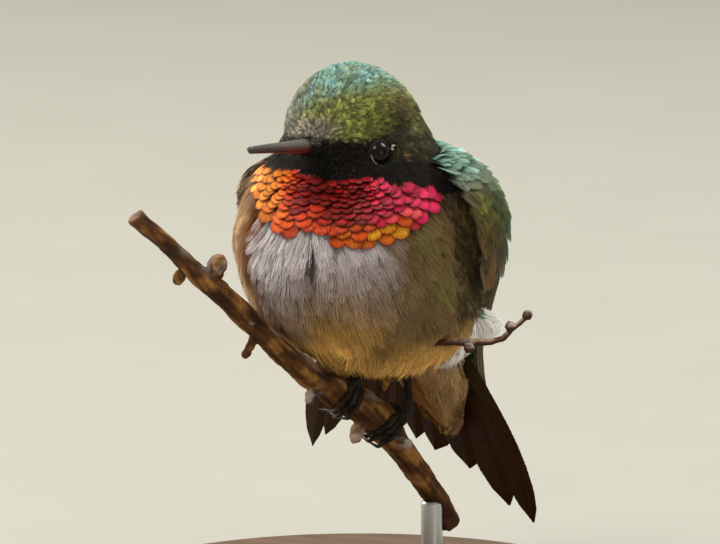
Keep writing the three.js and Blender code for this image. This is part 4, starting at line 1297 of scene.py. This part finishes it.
def build_flight_feathers(side, word, finish):
    """Ten primaries and six secondaries, the inner ones lying over the outer ones."""
    rng = np.random.default_rng(91 + side)
    vanes = []
    stations = np.linspace(0, 1, VANE_STATIONS)
    for i in range(PRIMARIES + SECONDARIES):
        if i < PRIMARIES:
            f = i / (PRIMARIES - 1)
            down = (0.34 + 0.02 * f, 1.0 - 0.33 * f ** 0.8)
            across = (0.10 + 0.55 * f, 0.42 + 0.50 * f)
        else:
            f = (i - PRIMARIES) / (SECONDARIES - 1)
            down = (0.36 - 0.03 * f, 0.64 - 0.10 * f)
            across = (0.62 + 0.26 * f, 0.90 + 0.08 * f)
        at = down[0] + (down[1] - down[0]) * stations
        share = across[0] + (across[1] - across[0]) * stations ** 1.4
        place, normal, _ = wing_frame(side, at, share)
        bare = smoothstep(0.46, 0.58, at)[:, None]  # the rest lies sunk under the coverts
        place = place + normal * ((0.04 + 0.02 * i) * bare - SUNK * (1 - bare))
        chord = wing_surface(side, at, np.ones_like(at)) - wing_surface(side, at, np.zeros_like(at))
        width = np.minimum(np.linalg.norm(chord, axis=1) * 0.17, FLIGHT_WIDTH)
        width = width * (0.5 + 0.5 * smoothstep(0, 0.2, stations))
        width = width * np.sqrt(np.clip(1 - smoothstep(0.8, 1.02, stations), 0, 1)) + 0.05
        vanes.append(vane(place, normal, width, width * 0.8, 0.15, 0.9, rng, shaft=0.1, camber=0.1))

    def colour(i, points, spot):
        edge = smoothstep(0.7, 1.0, np.abs(spot[:, 0]))
        return layered(points, FLIGHT_BROWN * (1 - 0.02 * i), (FLIGHT_EDGE, edge * 0.5))

    join_vanes(f"flight_feathers_{word}", finish, "flight_feathers", vanes, colour)


def build_wing_core(side, word, finish):
    """The dark inner face and body of the folded wing's tip, under its feathers."""
    nodes = [f"wing_{word}_primaries"]
    points, quads = remeshed(nodes, CORE_GROWTH, CORE_VOXEL)
    points = relaxed(points, quads, 8)
    points = points - vertex_normals(points, quads) * CORE_DEPTH
    covered = smoothstep(-7.5, -3.0, points[:, 2])
    points = points - covered[:, None] * np.array([0.9 * side, 0.9, 0.0])
    tone = 1 + 0.3 * ripple(points * np.array([3, 1, 1]), 0.9, 5)
    add_piece(f"wing_core_{word}", finish, "flight_feathers", points, quads,
              FLIGHT_BROWN * 0.8 * tone[:, None], replaced=nodes)


def build_wings():
    coverts = painted_material("wing_coverts", 0.45, grain=3800, metallic=0.25, specular=0.35)
    flight = painted_material("flight_plumage", 0.7, grain=2500, specular=0.12)
    for side, word in SIDES:
        build_wing_coverts(side, word, coverts)
        build_flight_feathers(side, word, flight)
        build_wing_core(side, word, flight)


# ------------------------------------------------------------------ tail


def tail_point(along, across, under):
    along, across, under = (np.asarray(v, float)[..., None] for v in (along, across, under))
    return TAIL_BASE + TAIL_ALONG * along + TAIL_ACROSS * across + TAIL_UNDER * under


def shaft_across(i, along):
    tip_along, tip_across = RECTRIX_TIPS[i]
    start = (i - (len(RECTRIX_TIPS) - 1) / 2) * QUILL_SPACING
    f = along / tip_along
    return start + (tip_across - start) * f + start * 0.35 * np.sin(math.pi * np.clip(f, 0, 1))


def build_tail():
    """Ten pointed tail feathers; seen from below, each outer one lies over its inner neighbour."""
    rng = np.random.default_rng(101)
    finish = painted_material("tail_plumage", 0.65, grain=2500, specular=0.18)
    vanes = []
    last = len(RECTRIX_TIPS) - 1
    for i, (tip_along, _) in enumerate(RECTRIX_TIPS):
        f = np.linspace(0, 1, VANE_STATIONS)
        along = f * tip_along
        own_line = shaft_across(i, along)
        place = tail_point(along, own_line, 0.07 * abs(i - last / 2) * (1 - 0.3 * f))
        point = np.interp(f, (0, 0.68, 0.82, 0.92, 1), (1, 1, 0.85, 0.55, 0.04))
        reaches = []
        for neighbour in (i - 1, i + 1):
            reach = OUTER_VANE * np.minimum(1, 0.35 + along / 6)
            if 0 <= neighbour <= last:
                gap = np.abs(shaft_across(neighbour, along) - own_line)
                reach = np.minimum(gap * 0.85, WIDEST_VANE)
            reaches.append(reach * point + 0.02)
        vanes.append(vane(place, np.tile(TAIL_UNDER, (len(f), 1)), *reaches, 0.16, 0.7, rng, shaft=0.12,
                          camber=0.12, turned=TAIL_ACROSS))

    def colour(i, points, spot):
        return layered(points, TAIL_BLACK, (BOTTLE * 0.6, smoothstep(0.5, 0.1, spot[:, 1]) * 0.4))

    join_vanes("tail_feathers", finish, "tail_feathers", vanes, colour,
               [f"tail_feather_{name}" for name in RECTRIX_NAMES])


def is_tail_root(points):
    from_base = points - TAIL_BASE
    return (from_base @ TAIL_ALONG) > -2.5


def build_tail_coverts(skin):
    """Buff-white feathers under the tail's base and green ones over it."""
    finish = painted_material("undertail_plumage", 0.85, grain=3600, contrast=0.2, sheen=0.05,
                              specular=0.1)

    def colour(points):
        across = (points - TAIL_BASE) @ TAIL_ACROSS
        base = layered(points, VENT_BROWN, (VENT_CREAM, smoothstep(2.4, 4.6, across) * 0.7))
        return base * (1 + 0.12 * ripple(points, 1.6, 61)[..., None])

    def under(points):
        below = (points - TAIL_BASE) @ TAIL_UNDER
        return is_tail_root(points) & (below > -0.3) & (points[:, 2] < -8.0)

    def over(points):
        below = (points - TAIL_BASE) @ TAIL_UNDER
        behind = is_tail_root(points) & (below <= -0.3) & (points[:, 1] > 5)
        return behind & (tuft_share(points) < 0.3)

    grow_coat("undertail_feathers", skin, finish, "undertail_feathers", 0.8, under, tail_flow,
              4.2, 1.05, colour, body_unwrap, 111, steps=4, barbs=31, stops=FIVE_STOPS,
              barb_width=0.038, root_width=0.25, fan=0.7, roundness=0.6, sink=0.1, lift=0.16, loose=0.25,
              blinds=0.15, camber=0.15, tone=((0, 0.5), (0.5, 0.9), (1, 1.1)), turn=0.05,
              barb_tone=0.08, tuft_tone=0.08)
    grow_coat("uppertail_feathers", skin, FINISHES["back_plumage"], "back_feathers", 0.75,
              over, tail_flow, 2.8, 0.9, back_colour, body_unwrap, 113, lift=0.28,
              tone=((0, 0.3), (0.5, 0.8), (1, 1.2)), **GREEN_STYLE)


# ------------------------------------------------------------------ eyes

EYE_SIDES = 40
LID_SIDES = 56
LID_HOOD = 0.2  # how far the upper lid hangs, in radii of the ball
CORNEA = 0.05  # how far the eye's front bulges, in radii
PUPIL = linear("#030303")
IRIS = linear("#150e09")
LID_PALE = linear("#b3aa9e")
CREAM = linear("#cfc0a8")
# The lid's section from its outer edge in: radius and height, in radii of the ball.
LID_FOLDS = [(1.11, 0.08), (1.08, 0.27), (1.03, 0.41), (0.975, 0.52), (0.93, 0.575), (0.895, 0.58),
             (0.875, 0.54), (0.88, 0.45)]


def build_eyes():
    """Dark glossy eyes with a bulging cornea, ringed by a thin lid."""
    glass = glass_material("eye_glass")
    lids = painted_material("eyelid", 0.75, grain=6000, bump=0.05, specular=0.2)
    for side, word in SIDES:
        low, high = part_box(f"eye_{word}")
        radius = (high - low).x / 2 / MM
        outward = eye_outward(side, word)
        centre = from_head(EYE_IN_HEAD[word]) - outward * EYE_SINK[word]
        angle = np.linspace(math.pi, 0, 30)
        bulge = 1 + CORNEA * np.exp(-(angle / 0.55) ** 2)
        profile = np.stack([np.sin(angle) * radius * bulge, np.cos(angle) * radius * bulge], -1)
        points, quads = lathe(profile, EYE_SIDES)
        turn = np.arctan2(np.hypot(points[:, 0], points[:, 1]), points[:, 2])
        iris = layered(points, PUPIL, (IRIS, smoothstep(0.35, 0.5, turn)))
        add_piece(f"eyeball_{word}", glass, "eye", facing(points, centre, outward), quads, iris,
                  replaced=[f"eye_{word}"])
        build_lid(word, centre, outward, radius, lids)


def build_lid(word, centre, outward, radius, finish):
    """A thin rim of bare skin round the eye, hooded above and paler along its lower edge."""
    points, quads = lathe([(r * radius, z * radius) for r, z in LID_FOLDS], LID_SIDES)
    away = np.linalg.norm(points[:, :2], axis=1) / radius
    placed = facing(points, centre, outward)
    rise = (to_head(placed)[:, 2] - to_head(centre[None])[0, 2]) / radius
    hood = smoothstep(0.2, 0.85, rise) * smoothstep(1.1, 0.9, away)
    placed = placed + (HEAD_TURN @ -UP) * (LID_HOOD * radius * hood)[:, None]
    pale = smoothstep(-0.05, -0.35, rise) * smoothstep(0.96, 0.91, away)
    add_piece(f"eyelid_{word}", finish, "crown_feathers", placed, quads,
              layered(placed, INK * 1.2, (LID_PALE, pale)))


def build_eye_spot(skin):
    """The small cream spot just behind each eye."""
    finish = painted_material("eye_spot", 0.8, grain=5000, contrast=0.2)
    rng = np.random.default_rng(121)
    for side, word in SIDES:
        middle = from_head(EYE_IN_HEAD[word] + np.array([side, 1.0, 0.42]))
        jitter = rng.normal(0, 1, (6, 3)) * np.array([0.03, 0.04, 0.16])
        root, normal = skin.nearest(middle + jitter)
        length = rng.uniform(0.3, 0.42, len(root))
        spine = trace(skin, root, normal, head_flow, length, 3, rng.normal(0, 0.2, len(root)))
        feathers(f"eye_spot_{word}", finish, "crown_feathers", spine, length, 0.11 + 0 * length,
                 CREAM + 0 * root, head_unwrap(root), barbs=5, barb_width=0.028, sink=0.0, lift=0.3,
                 loose=0.5, seed=123 + side)


# ------------------------------------------------------------------ bill

HORN = linear("#56504c")
HORN_TIP = linear("#1d1917")
HORN_BASE = linear("#1a1715")
LOWER_HORN = linear("#241916")
# dark red on the lower mandible's base: a painted reflection of the gorget
GORGET_RED_REFLECTION = linear("#5c1712")
BRISTLE = linear("#5b524e")
PALE_BRISTLE = linear("#b8abb0")
BILL_STATIONS = 64
BILL_ROUND = 22
BILL_START = -0.17  # inside the head, under the feathers
BILL_SEAM = -0.02
BILL_DROOP = 0.25
BILL_WIDTH = 0.86  # half widths and depths in mm, at the bill's base and tip
TIP_WIDTH = 0.3
TIP_DEPTH = 0.34
NOSTRIL_TURN = 0.75
NOSTRIL_DEPTH = 0.12
BRISTLES = 360  # small feathers over the bill's base
# Name, way up, length, depth at the base, share of the full width.
MANDIBLES = (("upper", 1, BILL_LENGTH, 0.88, 1.0), ("lower", -1, BILL_LENGTH - 0.25, 0.76, 0.95))


def build_mandible(word, sign, length, deep, wide, finish):
    """A half-round tapering beak half; the upper one has a nostril groove on each side."""
    f = np.linspace(BILL_START, 1, BILL_STATIONS)
    taper = np.maximum(f, 0) ** 0.8
    close = np.sqrt(np.clip(1 - smoothstep(0.955, 1.0, f) ** 2, 0.0, 1))
    width = (BILL_WIDTH + (TIP_WIDTH - BILL_WIDTH) * taper) * close
    depth = (deep + (TIP_DEPTH - deep) * taper) * close
    arc = np.linspace(0, math.pi, BILL_ROUND // 2)
    flat = np.linspace(math.pi, 2 * math.pi, BILL_ROUND // 2 + 2)[1:-1]
    turn = np.concatenate([arc, flat])
    rings = []
    for k in range(BILL_STATIONS):
        x = np.concatenate([np.cos(arc), np.cos(flat) * 0.96]) * width[k] * wide
        z = np.concatenate([np.sin(arc) ** 0.8, 0 * flat - 0.03]) * depth[k] * sign
        if word == "upper":
            groove = math.exp(-((f[k] - 0.07) / 0.05) ** 2)
            dips = (np.exp(-((turn - at) / 0.28) ** 2) for at in (NOSTRIL_TURN, math.pi - NOSTRIL_TURN))
            z = z - NOSTRIL_DEPTH * groove * sum(dips)
        y = np.full_like(x, -0.05 - f[k] * length)
        rings.append(np.stack([x, y, BILL_SEAM + z - BILL_DROOP * f[k] ** 2], -1))
    points = from_head(np.concatenate(rings))
    quads = ring_quads(BILL_STATIONS, len(turn))
    along = np.repeat(f, len(turn))
    if word == "upper":
        quads = quads[:, ::-1]
        colour = layered(points, HORN, (HORN_TIP, smoothstep(0.35, 0.95, along) * 0.75),
                         (HORN_BASE, smoothstep(0.06, -0.02, along) * 0.7))
    else:
        # The red near the base is a painted reflection of the gorget.
        colour = layered(points, LOWER_HORN, (GORGET_RED_REFLECTION, between(0.0, 0.4, 0.15, along) * 0.9))
    add_piece(f"mandible_{word}", finish, "bill", points, quads, colour, replaced=[f"bill_{word}"])


def build_bill():
    finish = painted_material("horn", 0.36, grain=1800, bump=0.03, coat=0.2)
    for word, *shape in MANDIBLES:
        build_mandible(word, *shape, finish)


def build_bill_feathers():
    """Short feathers that lie forward over the bill's base, dusty above and black at the sides."""
    finish = painted_material("bill_base_feathers", 0.8, grain=5000, specular=0.2)
    rng = np.random.default_rng(151)
    count = BRISTLES
    turn = rng.uniform(0, 2 * math.pi, count)
    cos, sin = np.cos(turn), np.sin(turn)
    back = rng.uniform(-0.5, 1.1, count) - 0.3 * np.abs(cos)
    wide, deep = 0.9, np.where(sin > 0, 0.92, 0.8)
    steps = 3
    length = rng.uniform(0.8, 1.35, count)
    normal = unit(np.stack([cos, 0.15 + 0 * turn, sin], -1)) @ HEAD_TURN.T
    way = np.tile(HEAD_TURN @ np.array([0, -1.0, 0]), (count, 1))
    stations = []
    for k in range(steps + 1):
        y = back - length * k / steps
        flare = 1 + 0.16 * np.clip(y + 0.5, 0, 2)
        place = from_head(np.stack([cos * wide * flare, y, sin * deep * flare - 0.02], -1))
        stations.append((place, normal, way))
    spine = spine_of(stations)
    top = smoothstep(0.1, 0.7, sin)
    pale = (rng.random(count) < 0.3) * top
    colour = layered(way, INK * 1.6, (BRISTLE, top), (PALE_BRISTLE, pale))
    feathers("bill_base_feathers", finish, "crown_feathers", spine, length, 0.13 + 0 * length, colour,
             head_unwrap(spine[0][:, 0]), barbs=5, barb_width=0.024, root_width=0.5, roundness=0.8,
             sink=0.05, lift=0.05, loose=0.8, tuft_tone=0.2, barb_tone=0.3, seed=153)


# ------------------------------------------------------------------ perch

BUDS = [(-9.4, -15.4, 2.8), (-3.0, -6.2, -12.0), (0.5, -2.5, -16.4), (4.5, 1.4, -17.4),
        (12.5, -2.6, -6.5), (15.9, 0.2, -4.6), (17.3, 1.2, -3.5)]
BARK_BASE = linear("#4d2d0f")
BARK_RIDGE = linear("#8a602f")
BARK_CRACK = linear("#211006")
TWIG_SHADE = linear("#3a2015")
# grey on upward bark, partly weathering and partly a painted highlight
WEATHER_AND_HIGHLIGHT = linear("#a08b7c")
BUD_GREY = linear("#b3a6a2")
TWIG_START = 5.6  # x where the side twig leaves the branch
# Node, piece, and its voxel, depth of relief and rounds of smoothing.
BARK_PIECES = (("perch_branch", "branch_bark", 0.15, 0.11, 30),
               ("perch_twig", "twig_bark", 0.08, 0.05, 110))


def build_perch():
    """Bark with ridges, scars and pale buds, over the branch and its side twig."""
    finish = painted_material("bark_relief", 0.8, grain=1400, bump=0.06, strength=0.7, detail=6,
                              rough=0.65, spread=(0.3, 0.7, 0.7, 1.35), specular=0.25)
    surfaces = []
    for node, name, voxel, depth, rounds in BARK_PIECES:
        points, quads = remeshed([node], 0.0, voxel)
        points = relaxed(points, quads, rounds)
        normals = vertex_normals(points, quads)
        rise = bark_rise(points)
        points = points + normals * (rise * depth)[:, None]
        add_piece(name, finish, "bark", points, quads, bark_colour(points, normals, rise),
                  replaced=[node])
        surfaces.append(Surface(points, quads))
    return surfaces[0]


def bark_rise(points):
    """Height of the bark's relief: long cracks along the branch with low swellings."""
    along = unit(np.array([0.45, 0.57, -0.69]))
    lengthways = (points @ along)[:, None] * along
    stretched = (points - lengthways) + lengthways * 0.14
    cracks = ripple(stretched, 0.55, 71) * 0.8 + ripple(stretched, 0.28, 72) * 0.6
    return cracks + 0.8 * ripple(points, 1.6, 74) + 0.35 * ripple(points, 0.5, 73)


def bark_colour(points, normals, rise):
    """Dark cracks, grey on top that is partly weathering and partly a painted highlight, and patchy pale
    buds; on the twig the buds are pale only on top, as a painted highlight.
    """
    thin = points[:, 0] > TWIG_START
    upward = normals[:, 2]
    # Upward faces turn grey, partly weathering and partly a painted highlight from above.
    weather_and_highlight = smoothstep(0.1, 0.75, upward) * smoothstep(-0.3, 0.7, ripple(points, 1.6, 7))
    patchy = smoothstep(-0.7, 0.3, ripple(points, 0.5, 76))
    # On the twig the buds are pale only on top, as a painted highlight.
    lit = np.where(thin, smoothstep(-0.1, 0.6, upward), 1.0)
    buds = [(BUD_GREY, near(points, bud, 0.95) * patchy * lit * 0.85) for bud in BUDS]
    return layered(points, BARK_BASE, (BARK_RIDGE, smoothstep(-0.2, 1.2, rise)),
                   (BARK_CRACK, smoothstep(-0.2, -1.1, rise) * 0.8),
                   (TWIG_SHADE, thin * smoothstep(0.55, -0.1, upward) * 0.85),
                   (WEATHER_AND_HIGHLIGHT, weather_and_highlight * np.where(thin, 0.8, 0.45)), *buds)


# ------------------------------------------------------------------ feet

FOOT_DARK = linear("#120d0a")
FOOT_LIGHT = linear("#2a2019")
CLAW_DARK = linear("#120f0d")
CLAW_TIP = linear("#2b221c")
CLAW_STATIONS = 16
FOOT_GROWTH = 0.03
FOOT_VOXEL = 0.075
SCUTE_HEIGHT = 0.02
TOE_GAP = 0.27  # how far toes, and then claws, may be drawn towards the bark
CLAW_GAP = 0.15


def node_points(name):
    """The corners of a CAD node in bird mm."""
    return mesh_points(NODES[name].data) / MM - ORIGIN


def end_toward(points, target, reach=0.35):
    """The middle of the end of a bar that lies nearest to a target."""
    away = np.linalg.norm(points - target, axis=1)
    ring = points[away < away.min() + reach]
    return ring.mean(axis=0)


def settled(points, bark, gap):
    """Points drawn towards the bark, so that toes rest on it."""
    where, _ = bark.nearest(points)
    away = where - points
    far = np.linalg.norm(away, axis=1, keepdims=True)
    return points + away / np.maximum(far, 1e-6) * np.minimum(gap, far * 0.8) * (far < 1.6)


def build_claw(name, toe_points, bark, finish):
    """A curved horn that starts inside the toe's tip and narrows to a point at the bark."""
    horn = node_points(name)
    middle = horn.mean(axis=0)
    start = end_toward(toe_points, middle)
    near_end = end_toward(horn, start, 0.2)
    far_end = end_toward(horn, middle + (middle - start), 0.15)
    away = unit(middle - bark.nearest(middle[None])[0][0])
    far_end = far_end + (far_end - near_end) * 0.5 - away * 0.2
    rows = [start - (near_end - start) * 0.4, start, near_end + away * 0.12, far_end]
    share = np.linspace(0, 1, CLAW_STATIONS)
    radii = np.interp(share, (0, 0.35, 0.7, 1), (0.2, 0.24, 0.17, 0.03))
    points, quads = tube(smooth_rows(rows, share), radii)
    points = settled(points, bark, CLAW_GAP)
    tip = smoothstep(1.2, 0.0, np.linalg.norm(points - far_end, axis=1))
    add_piece(f"horn_{name}", finish, "claw", points, quads, layered(points, CLAW_DARK, (CLAW_TIP, tip)),
              replaced=[name])


def build_feet(bark):
    """Each foot is one skin over its shin and four toes, with separate curved claws."""
    scaly = painted_material("foot_skin", 0.75, grain=6000, contrast=0.4, bump=0.05, specular=0.2)
    horn = painted_material("claw_horn", 0.4, grain=5000, contrast=0.25, specular=0.3)
    for _, word in SIDES:
        leg, toes = f"leg_{word}", [f"toe_{word}_{t}" for t in ("inner", "middle", "outer", "hind")]
        toe_points = [node_points(toe) for toe in toes]
        ankle = end_toward(node_points(leg), np.mean([p.mean(axis=0) for p in toe_points], axis=0))
        roots = [end_toward(p, ankle) for p in toe_points]
        heel = np.mean(roots, axis=0) * 0.6 + ankle * 0.4
        fillers = [(ankle, 0.42), ((ankle + heel) / 2, 0.42), (heel, 0.45)]
        for root in roots:
            fillers += [((root + heel) / 2, 0.34), (root, 0.32)]
        points, quads = remeshed([leg] + toes, FOOT_GROWTH, FOOT_VOXEL, fillers)
        points = relaxed(points, quads, 12)
        points = settled(points, bark, TOE_GAP)
        scutes = ripple(points * np.array([0.4, 0.4, 1.0]), 0.3, 77)
        points = points + vertex_normals(points, quads) * (SCUTE_HEIGHT * scutes)[:, None]
        colour = layered(points, FOOT_DARK, (FOOT_LIGHT, smoothstep(-0.4, 0.8, scutes)))
        add_piece(f"foot_skin_{word}", scaly, "leg_skin", points, quads, colour, replaced=[leg] + toes)
        for toe, outline in zip(toes, toe_points):
            build_claw(toe.replace("toe", "claw"), outline, bark, horn)


# ------------------------------------------------------------------ stand

STAND_BEVEL = 0.8
STAND_SIDES = 128
ROD_SIDES = 48


def column_of(node):
    """A round upright node's middle line, radius and top, in mm above the floor."""
    low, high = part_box(node)
    middle = np.array([(low.x + high.x) / 2 / MM, (low.y + high.y) / 2 / MM, 0.0])
    return middle, (high.x - low.x) / 2 / MM, high.z / MM


def build_stand():
    """A turned wooden base with a steel rod in a small collar."""
    wood = ramp_material("walnut", 0.42, linear("#3a2415"), linear("#7d5636"), 60, ends=(0.3, 0.72),
                         bump=(0.05, 0.4), detail=5, stretch=(1, 9, 1), coat=0.25)
    _, radius, top = column_of("stand_base")
    arc = np.linspace(0, math.pi / 2, 7)
    inner, lower = radius - STAND_BEVEL, top - STAND_BEVEL
    edge = [(inner + STAND_BEVEL * math.cos(a), lower + STAND_BEVEL * math.sin(a)) for a in arc]
    foot = [(0.01, 0.0), (radius - 0.4, 0.0), (radius, 0.4), (radius, 1.1), (radius - 0.25, 1.25),
            (radius - 0.25, 1.45), (radius, 1.6)]
    points, quads = lathe(foot + edge + [(radius - 2.2, top), (0.01, top)], STAND_SIDES)
    add_piece("stand_base_wood", wood, "stand_wood", points - ORIGIN, quads, smooth=False,
              replaced=["stand_base"])
    steel = ramp_material("brushed_steel", 0.28, linear("#8f9396"), linear("#d5d8da"), 900,
                          bump=(0.01, 0.3), stretch=(1, 1, 0.04), metallic=1.0)
    middle, radius, rod_top = column_of("stand_rod")
    collar = [(0.01, top - 1), (radius * 2.1, top - 1), (radius * 2.1, top + 0.5),
              (radius * 1.9, top + 0.8), (radius * 1.15, top + 1.0), (radius, top + 1.1)]
    bar = [(radius, rod_top - 0.2), (radius - 0.15, rod_top), (0.01, rod_top)]
    points, quads = lathe(collar + bar, ROD_SIDES)
    add_piece("stand_rod_steel", steel, "stand_steel", points + middle - ORIGIN, quads, smooth=False,
              replaced=["stand_rod"])


# ------------------------------------------------------------------ studio

CAMERA_AZIMUTH = 20
CAMERA_ELEVATION = 10
CAMERA_DISTANCE = 1.0
VIEW_WIDTH = 0.072  # metres across the picture at the bird
TARGET = Vector((0, 0, BODY_HEIGHT * MM))
FLOOR_HALF = 6.0
# Degrees round and up, distance and width in metres, power in watts, colour.
LIGHTS = {"key": (-25, 55, 0.55, 0.28, 2.0, (1.0, 0.95, 0.87)),
          "fill": (55, 12, 0.75, 0.40, 0.8, (1.0, 0.95, 0.86)),
          "rim": (140, 50, 0.6, 0.30, 2.0, (1.0, 0.98, 0.90)),
          "edge": (-105, 30, 0.6, 0.30, 1.9, (1.0, 0.92, 0.80))}


def aimed(name, data, azimuth, elevation, distance):
    """A camera or light that looks at the bird from a direction."""
    a, e = math.radians(azimuth), math.radians(elevation)
    out = Vector((math.sin(a) * math.cos(e), -math.cos(a) * math.cos(e), math.sin(e)))
    place = TARGET + out * distance
    obj = placed_in_scene(name, data)
    obj.location = place
    obj.rotation_mode = "QUATERNION"
    obj.rotation_quaternion = (TARGET - place).to_track_quat("-Z", "Y")
    return obj


def build_camera():
    data = bpy.data.cameras.new("camera")
    data.sensor_width = 36
    data.lens = data.sensor_width * CAMERA_DISTANCE / VIEW_WIDTH
    data.clip_start, data.clip_end = 0.01, 20
    bpy.context.scene.camera = aimed("camera", data, CAMERA_AZIMUTH, CAMERA_ELEVATION, CAMERA_DISTANCE)


def build_studio():
    mesh = bpy.data.meshes.new("floor")
    half = FLOOR_HALF
    corners = [(-half, -half, 0), (half, -half, 0), (half, half, 0), (-half, half, 0)]
    mesh.from_pydata(corners, [], [(0, 1, 2, 3)])
    mesh.materials.append(ramp_material("paper", 0.9, (0.43, 0.43, 0.40), (0.47, 0.47, 0.44), 40))
    placed_in_scene("floor", mesh)
    world = bpy.data.worlds.new("studio")
    world.use_nodes = True
    background = world.node_tree.nodes["Background"]
    background.inputs["Color"].default_value = (0.92, 0.88, 0.74, 1)
    background.inputs["Strength"].default_value = 0.5
    bpy.context.scene.world = world
    for name, (azimuth, elevation, distance, size, power, colour) in LIGHTS.items():
        data = bpy.data.lights.new(name, "AREA")
        data.shape = "DISK"
        data.size, data.energy, data.color = size, power, colour
        aimed(name, data, azimuth, elevation, distance)
    bpy.context.scene.view_settings.view_transform = "Standard"


# ------------------------------------------------------------------ assembly


def build_all():
    build_camera()
    build_studio()
    skin = build_skin()
    build_head_coat(skin)
    build_gorget(skin)
    build_front_coat(skin)
    build_vent_tufts(skin)
    build_back_coat(skin)
    build_axillaries(skin)
    build_wings()
    build_tail()
    build_tail_coverts(skin)
    build_eyes()
    build_eye_spot(skin)
    build_bill()
    build_bill_feathers()
    build_tufts(skin)
    bark = build_perch()
    build_feet(bark)
    build_stand()


build_all()
